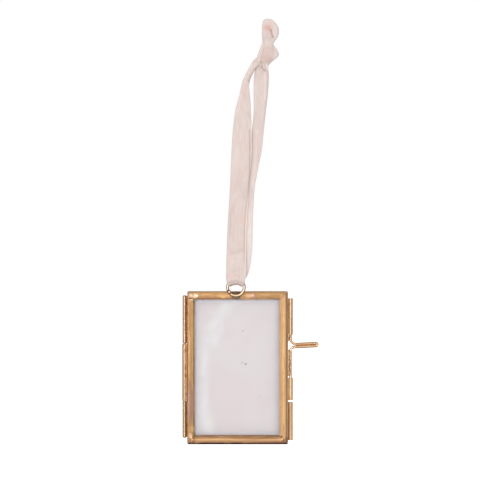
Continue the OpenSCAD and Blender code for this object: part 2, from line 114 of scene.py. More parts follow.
class Graph:
    """The nodes of one shader tree, with short ways to add and join them."""

    def __init__(self, tree: bpy.types.NodeTree) -> None:
        """Takes the tree that the nodes go into."""
        self.tree = tree

    def put(self, socket: Socket, value: Input) -> None:
        """Feeds a socket.

        Args:
            socket: the input to feed.
            value: another node's output to join it to, or its constant value.
        """
        if isinstance(value, bpy.types.NodeSocket):
            self.tree.links.new(value, socket)
        else:
            socket.default_value = value

    def add(self, kind: str, settings: dict[str, object] | None = None,
            **inputs: Input) -> bpy.types.Node:
        """Adds a node.

        Args:
            kind: the node's type without the ShaderNode prefix.
            settings: its properties by name.
            inputs: its inputs by name, with spaces written as underscores.

        Returns:
            The new node.
        """
        node = self.tree.nodes.new("ShaderNode" + kind)
        for name, value in (settings or {}).items():
            setattr(node, name, value)
        for name, value in inputs.items():
            self.put(node.inputs[name.replace("_", " ")], value)
        return node

    def math(self, operation: str, a: Input, b: Input = 0.0, clamp: bool = False) -> Socket:
        """Adds a Math node.

        Args:
            operation: what it does with its numbers.
            a: the first number.
            b: the second number, which operations on one number leave out.
            clamp: True keeps the result between 0 and 1.

        Returns:
            The result's socket.
        """
        node = self.add("Math", {"operation": operation, "use_clamp": clamp})
        self.put(node.inputs[0], a)
        self.put(node.inputs[1], b)
        return node.outputs[0]

    def step(self, value: Input, start: float, end: float) -> Socket:
        """Makes a smooth change from 0 to 1.

        Args:
            value: the number that the change follows.
            start: where the result is 0.
            end: where it is 1, which may be less than start.

        Returns:
            The result's socket.
        """
        low, high, at_low, at_high = (end, start, 1.0, 0.0) if start > end \
            else (start, end, 0.0, 1.0)
        node = self.add("MapRange", {"interpolation_type": "SMOOTHSTEP"}, Value=value,
                        From_Min=low, From_Max=high, To_Min=at_low, To_Max=at_high)
        return node.outputs[0]

    def band(self, value: Input, low: float, high: float, soft: float) -> Socket:
        """Makes a stretch of 1 between two smooth edges, with 0 outside.

        Args:
            value: the number that the band lies on.
            low: the middle of the lower edge.
            high: the middle of the upper edge.
            soft: half the width of each edge.

        Returns:
            The result's socket.
        """
        rise = self.step(value, low - soft, low + soft)
        fall = self.step(value, high + soft, high - soft)
        return self.math("MULTIPLY", rise, fall)

    def object_mm(self, offset: Sequence[float] = (0, 0, 0),
                  scale: Sequence[float] = (1, 1, 1)) -> Socket:
        """Reads the Object coordinates in millimetres.

        Args:
            offset: what is added after the scale.
            scale: what each coordinate is multiplied by.

        Returns:
            The vector's socket.
        """
        place = self.add("TexCoord").outputs["Object"]
        mapping = self.add("Mapping", Vector=place, Location=tuple(offset),
                           Scale=tuple(1000 * s for s in scale))
        return mapping.outputs[0]

    def split(self, vector: Socket) -> Sequence[Socket]:
        """Gives the three outputs of a Separate XYZ node."""
        return self.add("SeparateXYZ", Vector=vector).outputs

    def join(self, x: Input, y: Input, z: Input) -> Socket:
        """Gives a vector from three numbers or sockets."""
        return self.add("CombineXYZ", X=x, Y=y, Z=z).outputs[0]

    def noise(self, vector: Socket, scale: float, detail: float = 3.0,
              roughness: float = 0.55) -> Socket:
        """Adds a Noise Texture.

        Args:
            vector: where it is read, in millimetres.
            scale: how many lumps there are to a millimetre.
            detail: how many finer layers lie on the first.
            roughness: how strong those layers are.

        Returns:
            The grey value's socket.
        """
        node = self.add("TexNoise", Vector=vector, Scale=scale, Detail=detail,
                        Roughness=roughness)
        return node.outputs[0]

    def ramp(self, factor: Input, stops: Sequence[tuple[float, Sequence[float]]],
             smooth: bool = True) -> Socket:
        """Adds a Color Ramp.

        Args:
            factor: the place along the ramp, 0 to 1.
            stops: each stop's place and linear colour, in rising order.
            smooth: True eases between the stops, False changes evenly.

        Returns:
            The colour's socket.
        """
        node = self.add("ValToRGB", Fac=factor)
        node.color_ramp.interpolation = "EASE" if smooth else "LINEAR"
        elements = node.color_ramp.elements
        while len(elements) < len(stops):
            elements.new(0.5)
        for element, (position, colour) in zip(elements, stops):
            element.position = position
            element.color = tuple(colour)
        return node.outputs[0]

    def mix(self, factor: Input, a: Input, b: Input) -> Socket:
        """Mixes two colours.

        Args:
            factor: the share of the second colour.
            a: the first colour.
            b: the second colour.

        Returns:
            The colour's socket.
        """
        node = self.add("Mix", {"data_type": "RGBA", "blend_type": "MIX"})
        self.put(node.inputs[0], factor)
        self.put(node.inputs[6], a)
        self.put(node.inputs[7], b)
        return node.outputs[2]

    def tint(self, tone: Input, share: Input, strength: float, colour: Colour) -> Socket:
        """Draws a tone towards a colour by a share times a strength."""
        return self.mix(self.math("MULTIPLY", share, strength), tone, colour)

    def length(self, a: Input, b: Input) -> Socket:
        """Gives the root of the sum of two numbers' squares."""
        return self.math("SQRT", self.math("ADD", self.math("MULTIPLY", a, a),
                                           self.math("MULTIPLY", b, b)))

    def spot(self, x: Socket, z: Socket, centre: tuple[float, float],
             reach: tuple[float, float], soft: float = 0.5) -> Socket:
        """Makes an ellipse of 1 in the X-Z plane, with 0 outside.

        Args:
            x: the X coordinate's socket.
            z: the Z coordinate's socket.
            centre: middle of the ellipse.
            reach: its half width and half height.
            soft: the share of its radius over which it fades.

        Returns:
            The factor's socket.
        """
        across = self.math("DIVIDE", self.math("SUBTRACT", x, centre[0]), reach[0])
        along = self.math("DIVIDE", self.math("SUBTRACT", z, centre[1]), reach[1])
        return self.step(self.length(across, along), 1.0, 1.0 - soft)

    def bump(self, height: Input, distance: float, strength: float = 1.0,
             normal: Socket | None = None) -> Socket:
        """Adds a Bump node.

        Args:
            height: the height as a share of the distance.
            distance: the height's full size in metres.
            strength: how much of the bend is used.
            normal: another bump's result that this one is added to.

        Returns:
            The bent normal's socket.
        """
        node = self.add("Bump", Height=height, Distance=distance, Strength=strength)
        if normal is not None:
            self.put(node.inputs["Normal"], normal)
        return node.outputs[0]

    def span(self, value: Input, to: tuple[float, float],
             between: tuple[float, float] = (0.0, 1.0)) -> Socket:
        """Turns one range of numbers evenly into another.

        Args:
            value: the number to turn.
            to: the results at the two ends of the range.
            between: the ends of the range that the number lies in.

        Returns:
            The result's socket.
        """
        return self.add("MapRange", Value=value, From_Min=between[0], From_Max=between[1],
                        To_Min=to[0], To_Max=to[1]).outputs[0]


class Surface(Graph):
    """A new material's nodes, with its output and its Principled shader."""

    def __init__(self, name: str) -> None:
        """Starts the material.

        Args:
            name: the material's name.
        """
        self.material = bpy.data.materials.new(name)
        self.material.use_nodes = True
        super().__init__(self.material.node_tree)
        self.tree.nodes.clear()
        self.output = self.add("OutputMaterial")
        self.shader = self.add("BsdfPrincipled")
        self.put(self.output.inputs[0], self.shader.outputs[0])

    def principled(self, **inputs: Input) -> None:
        """Sets the Principled shader's sockets, with spaces written as underscores."""
        for name, value in inputs.items():
            self.put(self.shader.inputs[name.replace("_", " ")], value)

    def swap_where(self, share: Input, other: Socket) -> None:
        """Shows another shader in place of the Principled one.

        Args:
            share: 1 where the other shader shows, and 0 where it doesn't.
            other: the other shader's output.
        """
        mixed = self.add("MixShader")
        for socket, value in zip(mixed.inputs, (share, self.shader.outputs[0], other)):
            self.put(socket, value)
        self.put(self.output.inputs[0], mixed.outputs[0])


SHADOW = srgb(66, 44, 32)
UMBER = srgb(126, 95, 70)
BRONZE = srgb(158, 122, 92)
BODY = srgb(178, 137, 96)
LIGHT = srgb(193, 151, 104)
BRIGHT = srgb(214, 174, 122)


@dataclass(frozen=True)
class Patch:
    """A stain, rubbed place, solder smear, painted highlight or painted shadow on the face of
    the channel.

    The middle and reach are in millimetres from the middle of the frame.
    """

    middle: tuple[float, float]
    reach: tuple[float, float]
    colour: Colour
    strength: float = 0.8


FRONT_PATCHES = (
    Patch((-24.3, -17.6), (3.4, 15.0), srgb(156, 118, 98), 0.8),
    Patch((-25.0, -18.4), (0.8, 11.0), srgb(186, 150, 134), 0.7),
    Patch((-23.3, -31.2), (1.8, 2.2), srgb(200, 162, 112), 0.6),
    Patch((-25.4, 37.0), (1.1, 2.4), srgb(176, 146, 124), 0.85),
    # Painted highlight: the pale peach and near-white patches here stand for the light on the
    # top-left corner's solder.
    Patch((-22.6, 36.9), (3.2, 1.45), srgb(242, 204, 170), 0.95),
    Patch((-24.5, 36.9), (0.5, 0.5), srgb(206, 164, 128), 0.7),
    Patch((-23.4, 37.0), (0.6, 0.6), srgb(250, 222, 200), 0.9),
    Patch((-21.2, 37.0), (1.3, 0.7), srgb(255, 226, 204), 1.0),
    Patch((-25.5, 38.9), (1.2, 0.7), srgb(150, 118, 94), 0.7),
    Patch((-24.1, 35.5), (1.15, 0.28), srgb(64, 30, 12), 1.0),
    Patch((-23.8, 34.85), (1.15, 0.36), srgb(252, 208, 168), 1.0),
    Patch((-22.5, 35.0), (0.8, 1.3), srgb(150, 138, 86), 0.9),
    Patch((-22.5, 34.0), (0.5, 1.4), srgb(112, 84, 52), 0.8),
    Patch((-19.9, 35.7), (0.9, 0.35), srgb(128, 84, 52), 0.8),
    Patch((-24.2, -34.6), (1.2, 1.6), srgb(232, 190, 156), 0.8),
    Patch((-23.7, -35.6), (0.7, 0.6), srgb(248, 214, 184), 0.9),
    Patch((-22.9, -33.6), (0.9, 0.9), srgb(170, 124, 76), 0.7),
    Patch((-22.4, -34.6), (0.5, 0.4), srgb(138, 92, 48), 0.8),
    Patch((-22.9, -35.3), (0.45, 0.4), srgb(150, 98, 52), 0.8),
    Patch((-22.2, -36.2), (0.45, 0.4), srgb(150, 98, 52), 0.7),
    Patch((-23.2, -36.6), (0.9, 0.6), srgb(222, 176, 124), 0.8),
    Patch((-24.0, -37.9), (1.1, 0.8), srgb(170, 140, 120), 0.8),
    Patch((-25.3, -36.8), (0.9, 1.5), srgb(150, 116, 92), 0.7),
    Patch((5.9, 36.9), (2.6, 1.2), srgb(236, 192, 146), 0.75),
    Patch((7.7, 37.0), (0.95, 1.0), srgb(232, 192, 196), 0.9),
    Patch((7.5, 36.3), (0.9, 0.5), srgb(186, 150, 160), 0.7),
    Patch((7.3, 35.7), (1.1, 0.5), srgb(150, 118, 116), 0.6),
    # Painted shadow: this dark grey patch under the ring is the ring's shadow on the top bar.
    Patch((-0.9, 36.0), (2.9, 1.6), srgb(96, 80, 66), 0.85),
    Patch((-0.6, 38.4), (2.9, 1.1), srgb(150, 92, 66), 0.9),
    Patch((-2.4, 38.4), (0.9, 0.7), srgb(96, 56, 34), 0.9),
    Patch((0.9, 38.3), (1.1, 0.8), srgb(110, 62, 62), 0.9),
    Patch((-7.4, 36.2), (1.6, 0.7), srgb(232, 190, 128), 0.7),
    Patch((-7.5, 36.9), (4.5, 1.0), srgb(228, 180, 122), 0.7),
    Patch((-11.0, 35.2), (4.5, 0.5), srgb(150, 104, 74), 0.7),
    Patch((-16.5, 35.6), (4.5, 0.5), srgb(156, 104, 68), 0.7),
    Patch((-16.0, 37.6), (3.5, 0.5), srgb(222, 168, 112), 0.6),
    Patch((14.5, 37.4), (4.5, 0.6), srgb(214, 172, 116), 0.6),
    Patch((17.0, 35.8), (3.0, 0.45), srgb(150, 112, 74), 0.6),
    Patch((23.1, 5.0), (0.6, 9.0), srgb(238, 198, 140), 0.6),
    Patch((21.6, -8.0), (0.45, 12.0), srgb(206, 148, 96), 0.7),
    Patch((-24.6, 12.0), (0.5, 9.0), srgb(220, 178, 130), 0.6),
    Patch((-23.4, 22.0), (0.7, 6.0), srgb(186, 142, 88), 0.6),
    Patch((-8.0, -36.4), (9.0, 0.4), srgb(226, 184, 132), 0.6),
    Patch((12.0, -36.0), (6.0, 0.4), srgb(166, 118, 74), 0.6),
    Patch((22.6, 36.4), (1.4, 1.6), srgb(222, 168, 112), 0.6),
    Patch((22.4, -35.2), (0.7, 0.65), srgb(96, 52, 28), 0.95),
    Patch((23.6, -33.6), (1.1, 1.4), srgb(206, 160, 118), 0.7),
    Patch((23.4, -37.0), (0.8, 0.9), srgb(152, 104, 58), 0.95),
    Patch((21.6, -36.6), (1.2, 0.8), srgb(226, 184, 130), 0.7),
    Patch((25.1, -37.0), (1.2, 2.2), srgb(140, 108, 98), 0.85),
)


@dataclass(frozen=True)
class AgedBrass:
    """Satin brass strip with a rubbed face, dark seams and brown, pink and green patina.

    Each bar's tones are given by their distance in millimetres from its outer edge, and
    they paint the light and shade across the bar's rounded profile, lit differently on
    each side. The butt joint's seam lies joint_drop below the top and ends at joint_end.
    """

    name: str = "aged_brass_channel"
    # Painted light and shade: across each bar the stops darken on the rounded bends and
    # brighten on the flat face as the light falls. SHADOW on the foot's outer bend is painted
    # shadow.
    left_bar: Stops = ((0.0, UMBER), (0.3, BODY), (0.6, LIGHT), (1.2, BODY),
                       (2.2, BODY), (2.7, LIGHT), (3.05, srgb(134, 106, 70)),
                       (3.5, srgb(116, 92, 62)))
    right_bar: Stops = ((0.0, srgb(232, 192, 156)), (0.4, srgb(214, 174, 140)),
                        (0.8, srgb(138, 106, 80)), (1.15, srgb(172, 136, 102)),
                        (1.55, srgb(208, 166, 120)), (2.2, srgb(232, 190, 136)),
                        (2.9, srgb(214, 168, 116)), (3.6, srgb(204, 160, 116)))
    top_bar: Stops = ((0.0, srgb(226, 184, 142)), (0.45, srgb(170, 132, 98)),
                      (0.8, LIGHT), (1.2, srgb(186, 145, 100)),
                      (2.6, srgb(182, 141, 98)), (3.1, BODY), (3.5, BRONZE),
                      (4.2, UMBER))
    foot_bar: Stops = ((0.0, SHADOW), (0.5, SHADOW), (0.8, srgb(106, 76, 56)),
                       (1.1, srgb(146, 110, 86)), (1.6, srgb(184, 140, 104)),
                       (2.5, srgb(222, 174, 128)), (3.0, srgb(184, 140, 98)),
                       (3.4, srgb(160, 122, 88)), (4.2, srgb(136, 106, 82)))
    bar_width: float = 5.0
    blush: Colour = srgb(206, 152, 108)
    joint_drop: float = 3.6
    joint_end: tuple[float, float] = (-20.0, -21.0)
    drawn_out: float = 0.08
    waver_reach: float = 0.7
    polish: tuple[float, float] = (0.28, 0.45)
    patches: tuple[Patch, ...] = FRONT_PATCHES

    def material(self) -> bpy.types.Material:
        """Makes the finish: tone follows how far a point is from the channel's outer edge,
        painting the light and shade of its rounded profile.

        The nearer of the two outer edges picks the bar, so the bars meet in a mitre,
        but for the butt joint at the top left. Stretched noise gives streaks along
        each bar, and patches add the stains, the solder smears and a few painted
        highlights and painted shadows.

        Returns:
            The new material.
        """
        g = Surface(self.name)
        place = g.object_mm((HANG_POINT_MM[0], HANG_POINT_MM[1],
                             HANG_POINT_MM[2] - HALF_HEIGHT_MM))
        x, y, z = g.split(place)
        to_side = g.math("SUBTRACT", HALF_WIDTH_MM, g.math("ABSOLUTE", x))
        to_end = g.math("SUBTRACT", HALF_HEIGHT_MM, g.math("ABSOLUTE", z))
        upright = g.step(g.math("SUBTRACT", to_end, to_side), -0.1, 0.1)
        seam = HALF_HEIGHT_MM - self.joint_drop
        butt = g.math("MULTIPLY", g.step(x, *self.joint_end),
                      g.step(z, seam - 0.05, seam + 0.05))
        upright = g.math("MULTIPLY", upright, g.math("SUBTRACT", 1.0, butt))
        lengthwise = g.mix(upright, g.join(g.math("MULTIPLY", x, self.drawn_out), y, z),
                           g.join(x, y, g.math("MULTIPLY", z, self.drawn_out)))
        streak = g.noise(lengthwise, 1.1, 4.0)
        waver = g.math("MULTIPLY", g.math("SUBTRACT", g.noise(lengthwise, 0.5, 2.0), 0.5),
                       self.waver_reach)

        def bar(stops: Stops, distance: Socket) -> Socket:
            """Gives a bar's colour across its width, with its painted light and shade and
            wavering borders.

            Args:
                stops: the bar's tones by their distance from its outer edge.
                distance: how far a point is from that edge.

            Returns:
                The colour's socket.
            """
            share = g.math("DIVIDE", g.math("ADD", distance, waver), self.bar_width)
            return g.ramp(share, [(mm / self.bar_width, colour) for mm, colour in stops],
                          False)

        sides = g.mix(g.step(x, -1.0, 1.0), bar(self.left_bar, to_side),
                      bar(self.right_bar, to_side))
        ends = g.mix(g.step(z, -1.0, 1.0), bar(self.foot_bar, to_end),
                     bar(self.top_bar, to_end))
        tone = g.mix(upright, ends, sides)

        cloud = g.noise(place, 0.16, 3.0)
        grime = g.noise(place, 0.8, 5.0, 0.65)
        tone = g.tint(tone, g.step(streak, 0.52, 0.66), 0.4, BRIGHT)
        tone = g.tint(tone, g.step(streak, 0.46, 0.34), 0.5, BRONZE)
        tone = g.tint(tone, g.step(cloud, 0.56, 0.68), 0.35, self.blush)
        tone = g.tint(tone, g.step(grime, 0.56, 0.72), 0.35, UMBER)
        for patch in self.patches:
            fade = g.spot(x, z, patch.middle, patch.reach, 0.55)
            on_face = g.math("MULTIPLY", fade, g.step(y, 0.0, -0.5))
            tone = g.tint(tone, on_face, patch.strength, patch.colour)

        scratches = g.noise(lengthwise, 5.5, 4.0, 0.7)
        normal = g.bump(g.noise(place, 0.3, 2.0), 0.00025, 0.5)
        normal = g.bump(scratches, 0.00002, 0.5, normal)
        rough = g.span(grime, self.polish, (0.35, 0.7))
        g.principled(Base_Color=tone, Metallic=1.0, Roughness=rough, Normal=normal)
        return g.material


@dataclass(frozen=True)
class Hairpin:
    """Painted shade in the groove between a bent wire's two legs, and a painted dark outline
    along the legs' edges.

    Slope and level give the height of the legs' middle line at any X. Legs is the
    stretch of X with the groove, and outline_start is where the outline grows in.
    """

    slope: float = 0.0489
    level: float = -141.0
    legs: tuple[float, float] = (20.2, 31.6)
    outline_start: tuple[float, float] = (20.6, 22.4)
    outline: Colour = srgb(190, 146, 106)

    def tint(self, g: Surface, tone: Socket, groove: Colour) -> Socket:
        """Paints the dark outline and the shade in the groove over a tone.

        Args:
            g: the material's nodes.
            tone: the wire's tone without them.
            groove: the groove's painted shade.

        Returns:
            The colour's socket.
        """
        x, _, z = g.split(g.object_mm())
        line = g.math("ADD", g.math("MULTIPLY", x, self.slope), self.level)
        off = g.math("ABSOLUTE", g.math("SUBTRACT", z, line))
        # Painted shade: the legs' outer edges darken to the outline colour, and the groove
        # where they meet darkens to its colour.
        edge = g.math("MULTIPLY", g.step(off, 0.5, 1.1), g.step(x, *self.outline_start))
        tone = g.tint(tone, edge, 0.8, self.outline)
        dark = g.math("MULTIPLY", g.step(off, 0.42, 0.16), g.band(x, *self.legs, 0.5))
        return g.tint(tone, dark, 0.9, groove)


@dataclass(frozen=True)
class DrawnBrass:
    """Bright drawn brass of wire and tube, with faint streaks along Z and dull smears.

    A tube or wire that lies on the frame takes seam_tone on the seam's side, where axis_x is
    its axis and seam is 1 or -1 for a seam towards +X or -X, or 0 for none. That tone is
    solder brown and painted shade of the narrow gap beside the wall on most pieces, and
    painted light that lifts that shade where it is lighter than the metal. The seam_band and
    flank_span fields are distances from the axis towards the seam, and flank_shade is
    painted shade on the side that looks away from it.
    """

    name: str = "drawn_brass"
    gold: Colour = srgb(216, 174, 128)
    deep: Colour = srgb(194, 148, 104)
    smear: Colour = srgb(158, 118, 90)
    smear_share: float = 0.35
    drawn_out: float = 0.12
    axis_x: float = 0.0
    seam: int = 0
    seam_tone: Colour = srgb(112, 76, 50)
    seam_share: float = 0.8
    seam_waver: float = 2.6
    seam_band: tuple[float, float] = (0.45, 1.25)
    flank_shade: Colour | None = None
    flank_span: tuple[float, float] = (-0.55, -0.95)
    polish: tuple[float, float] = (0.2, 0.34)
    metal: float = 1.0
    hairpin: Hairpin | None = None

    def material(self) -> bpy.types.Material:
        """Makes the finish from streaked noise for the tone and fine bump.

        Returns:
            The new material.
        """
        g = Surface(self.name)
        place = g.object_mm()
        streaked = g.object_mm(scale=(1, 1, self.drawn_out))
        tone = g.mix(g.step(g.noise(streaked, 0.9, 3.0), 0.38, 0.62), self.deep, self.gold)
        stain = g.step(g.noise(place, 0.3, 3.0, 0.55), 0.52, 0.68)
        tone = g.tint(tone, stain, self.smear_share, self.smear)
        if self.seam:
            tone = self.tone_seam(g, tone)
        if self.hairpin:
            tone = self.hairpin.tint(g, tone, self.seam_tone)
        dents = g.noise(g.object_mm(scale=(1, 1, 0.25)), 0.3, 2.0)
        g.principled(Base_Color=tone, Metallic=self.metal,
                     Roughness=g.span(stain, self.polish),
                     Normal=g.bump(dents, 0.00008, 0.35))
        return g.material

    def tone_seam(self, g: Surface, tone: Socket) -> Socket:
        """Tones the seam's side with seam_tone, with an edge that wanders along Z, and paints
        shade on the flank.

        Args:
            g: the material's nodes.
            tone: the clean metal's tone.

        Returns:
            The colour's socket.
        """
        x, _, z = g.split(g.object_mm())
        off = g.math("MULTIPLY", g.math("SUBTRACT", x, self.axis_x), float(self.seam))
        wave = g.noise(g.join(0.0, 0.0, z), 0.28, 3.0, 0.6)
        waver = g.math("MULTIPLY", g.math("SUBTRACT", wave, 0.5), self.seam_waver)
        # Painted light and shade of the gap, with solder brown, on the seam's side, and painted
        # shade on the flank.
        seam_band = g.band(g.math("ADD", off, waver), *self.seam_band, 0.35)
        tone = g.tint(tone, seam_band, self.seam_share, self.seam_tone)
        if self.flank_shade:
            tone = g.mix(g.step(off, *self.flank_span), tone, self.flank_shade)
        return tone


@dataclass(frozen=True)
class SolderMetal:
    """Brass-coloured solder, lumpy, bright on its crests and dark in its hollows.

    Lump is how many lumps there are to a millimetre, and spread is where the lumps'
    height turns from a crest's tone into a hollow's.
    """

    name: str = "solder"
    crest: Colour = srgb(238, 200, 162)
    hollow: Colour = srgb(160, 118, 88)
    spread: tuple[float, float] = (0.5, 0.36)
    lump: float = 0.9
    polish: tuple[float, float] = (0.42, 0.26)

    def material(self) -> bpy.types.Material:
        """Makes the finish from one lumpy noise that sets tone, roughness and bump.

        Returns:
            The new material.
        """
        g = Surface(self.name)
        lumps = g.noise(g.object_mm(scale=(1, 1, 0.5)), self.lump, 2.0)
        tone = g.mix(g.step(lumps, *self.spread), self.crest, self.hollow)
        g.principled(Base_Color=tone, Metallic=1.0,
                     Roughness=g.span(lumps, self.polish, (0.3, 0.7)),
                     Normal=g.bump(lumps, 0.0002, 0.6))
        return g.material


@dataclass(frozen=True)
class ClearGlass:
    """Clear float glass that lets lamps and daylight through to the card."""

    name: str = "clear_glass"
    tint: Colour = srgb(250, 251, 251)

    def material(self) -> bpy.types.Material:
        """Makes the pane: refracting glass to the eye, and clear to light on its way in.

        Returns:
            The new material.
        """
        g = Surface(self.name)
        g.principled(Base_Color=self.tint, Roughness=0.02, IOR=1.5,
                     Transmission_Weight=1.0)
        path = g.add("LightPath").outputs
        clear = g.add("BsdfTransparent", Color=self.tint)
        g.swap_where(g.math("MAXIMUM", path["Is Shadow Ray"], path["Is Diffuse Ray"]),
                     clear.outputs[0])
        return g.material


@dataclass(frozen=True)
class Facet:
    """A pale flat place on the card, painted reflection along the streak, in millimetres from
    the middle of the frame.
    """

    middle: tuple[float, float]
    reach: tuple[float, float]
    strength: float


@dataclass(frozen=True)
class MattCard:
    """Plain off-white card with fibres and specks, and painted light and shade: a pale
    streak with pale flat places down one side that paint a reflection in the glass, a pale
    lilac rim at the left, top and foot that lifts the shade there, and a painted shadow
    along the right edge.

    The streak's bends are given as a height and the streak's middle there, a speck as
    its middle and radius, all in millimetres from the middle of the frame. The streak
    spans the heights within streak_half of the middle, and its X stays above
    -streak_side.
    """

    name: str = "matt_card"
    paper: Colour = srgb(242, 232, 233)
    warm: Colour = srgb(241, 228, 230)
    pale: Colour = srgb(253, 251, 252)
    right_edge_shadow: Colour = srgb(206, 192, 196)
    speck: Colour = srgb(132, 118, 116)
    lilac: Colour = srgb(252, 244, 252)
    facets: tuple[Facet, ...] = (
        Facet((-5.9, 31.0), (5.0, 6.0), 0.4), Facet((-8.4, 20.4), (2.2, 7.0), 0.3),
        Facet((-11.6, 14.0), (3.2, 6.4), 0.35), Facet((-14.4, 28.8), (2.2, 3.4), 0.2),
        Facet((-16.8, 3.5), (1.8, 9.5), 0.3), Facet((-16.2, -14.0), (2.0, 12.0), 0.25),
        Facet((-15.6, -27.8), (6.6, 7.6), 0.36), Facet((-1.6, 33.0), (4.2, 2.4), 0.3))
    facet_slant: float = 0.12
    streak: tuple[tuple[float, float], ...] = (
        (-34.0, -13.6), (-30.0, -15.6), (-25.0, -17.3), (-6.0, -17.7), (9.0, -16.7),
        (19.4, -13.1), (28.6, -9.0), (34.0, -5.4))
    streak_half: float = 34.0
    streak_side: float = 20.0
    streak_fade: tuple[float, float] = (7.0, 0.8)
    waver_reach: float = 3.2
    specks: tuple[tuple[float, float, float], ...] = (
        (4.1, 1.9, 0.8), (2.3, 2.6, 0.5), (2.8, 18.9, 0.45), (11.4, -14.3, 0.35))

    def streak_middle(self, g: Surface, z: Socket) -> Socket:
        """Gives the X of the streak's middle at a height.

        A ramp's grey stands for it, from 0 at -streak_side to 1 at X 0.

        Args:
            g: the material's nodes.
            z: the height's socket.

        Returns:
            The X coordinate's socket.
        """
        full, side = 2 * self.streak_half, self.streak_side
        height = g.math("DIVIDE", g.math("ADD", z, self.streak_half), full, clamp=True)
        bends = [((at + self.streak_half) / full, (*([(middle + side) / side] * 3), 1.0))
                 for at, middle in self.streak]
        return g.math("SUBTRACT", g.math("MULTIPLY", g.ramp(height, bends), side), side)

    def material(self) -> bpy.types.Material:
        """Makes the card from two soft tones, the painted reflection, rim light and shadow,
        round specks and fibre bump.

        Returns:
            The new material.
        """
        g = Surface(self.name)
        place = g.object_mm((HANG_POINT_MM[0], 0, HANG_POINT_MM[2] - HALF_HEIGHT_MM))
        x, _, z = g.split(place)
        tone = g.mix(g.step(g.noise(place, 0.05, 2.0), 0.4, 0.6), self.paper, self.warm)
        # Painted reflection: a pale streak down the left side of the card.
        off = g.math("ABSOLUTE", g.math("SUBTRACT", x, self.streak_middle(g, z)))
        waver = g.math("MULTIPLY", g.noise(place, 0.14, 2.0), self.waver_reach)
        streak = g.step(g.math("ADD", off, waver), *self.streak_fade)
        patchy = g.step(g.noise(place, 0.09, 2.0), 0.3, 0.6)
        streak = g.math("MULTIPLY", streak, g.math("ADD", g.math("MULTIPLY", patchy, 0.35),
                                                   0.3))
        tone = g.mix(streak, tone, self.pale)
        # Painted light: the card turns pale lilac near its left, top and foot edges, lifting
        # the shade of the channel's lips.
        rim = g.math("MAXIMUM", g.step(x, -19.5, -22.2),
                     g.math("MAXIMUM", g.step(z, 32.2, 35.0), g.step(z, -32.0, -35.0)))
        tone = g.tint(tone, rim, 0.9, self.lilac)
        upright_x = g.math("SUBTRACT", x, g.math("MULTIPLY", z, self.facet_slant))
        slanted = g.math("ADD", upright_x,
                         g.math("SUBTRACT", waver, self.waver_reach / 2))
        # Painted reflection: pale flat places along the streak.
        for facet in self.facets:
            across, up = facet.middle
            seen = g.spot(slanted, z, (across - self.facet_slant * up, up), facet.reach,
                          0.85)
            tone = g.tint(tone, seen, facet.strength, self.pale)
        # Painted shadow: darker towards the right edge, where the right lip's shadow falls.
        tone = g.tint(tone, g.step(x, 17.6, 21.6), 0.35, self.right_edge_shadow)
        for across, up, radius in self.specks:
            dot = g.spot(x, z, (across, up), (radius, radius), 0.6)
            tone = g.tint(tone, dot, 0.6, self.speck)
        fibres = g.noise(g.object_mm(scale=(1, 1, 0.5)), 7.0, 5.0, 0.7)
        g.principled(Base_Color=tone, Roughness=0.85, Specular_IOR_Level=0.3,
                     Normal=g.bump(fibres, 0.00002, 0.3))
        return g.material


@dataclass(frozen=True)
class RingBrass:
    """Brass wire bent to a ring: bright along its face and darker to both sides, as patina and
    painted shade, with a deeper painted shade low down where it meets the bar.

    Cut_end is the middle of the wire's cut end, from the ring's centre.
    """

    name: str = "ring_brass"
    centre: tuple[float, float] = (-8.9, -109.976)
    middle_radius: float = 4.25
    pale: Colour = srgb(238, 210, 192)
    gold: Colour = srgb(250, 212, 174)
    # stain: the wire's sides, patina with a painted dark edge; deep_shade: painted shade on the
    # low sides, also used for the dark line round the cut end.
    stain: Colour = srgb(136, 98, 76)
    deep_shade: Colour = srgb(84, 58, 42)
    rim: Colour = srgb(134, 92, 58)
    core: Colour = srgb(240, 204, 180)
    cut_end: tuple[float, float] = (-3.42, -2.35)
    polish: tuple[float, float] = (0.3, 0.42)

    def material(self) -> bpy.types.Material:
        """Makes the finish from the distance to the wire's middle circle.

        The side tone, patina with a painted dark edge, grows to both sides of that circle and
        turns to deep_shade, a painted shade, low down where the ring meets the bar, and a dark
        line goes round the wire's cut end.

        Returns:
            The new material.
        """
        g = Surface(self.name)
        place = g.object_mm((-self.centre[0], 0, -self.centre[1]))
        x, _, z = g.split(place)
        off = g.math("ABSOLUTE", g.math("SUBTRACT", g.length(x, z), self.middle_radius))
        uneven = g.math("MULTIPLY", g.noise(place, 0.9, 3.0), 0.2)
        low = g.step(z, 0.0, -2.6)
        face = g.mix(low, self.pale, self.gold)
        side = g.mix(low, self.stain, self.deep_shade)
        tone = g.mix(g.step(g.math("ADD", off, uneven), 0.38, 0.72), face, side)
        from_end = g.length(g.math("SUBTRACT", x, self.cut_end[0]),
                            g.math("SUBTRACT", z, self.cut_end[1]))
        tone = g.mix(g.band(from_end, 0.95, 1.3, 0.1), tone, self.deep_shade)
        tone = g.mix(g.step(from_end, 1.0, 0.9), tone, self.rim)
        tone = g.mix(g.step(from_end, 0.7, 0.3), tone, self.core)
        g.principled(Base_Color=tone, Metallic=1.0,
                     Roughness=g.span(off, self.polish, (0.3, 0.7)),
                     Normal=g.bump(g.noise(place, 0.8, 2.0), 0.0001, 0.4))
        return g.material


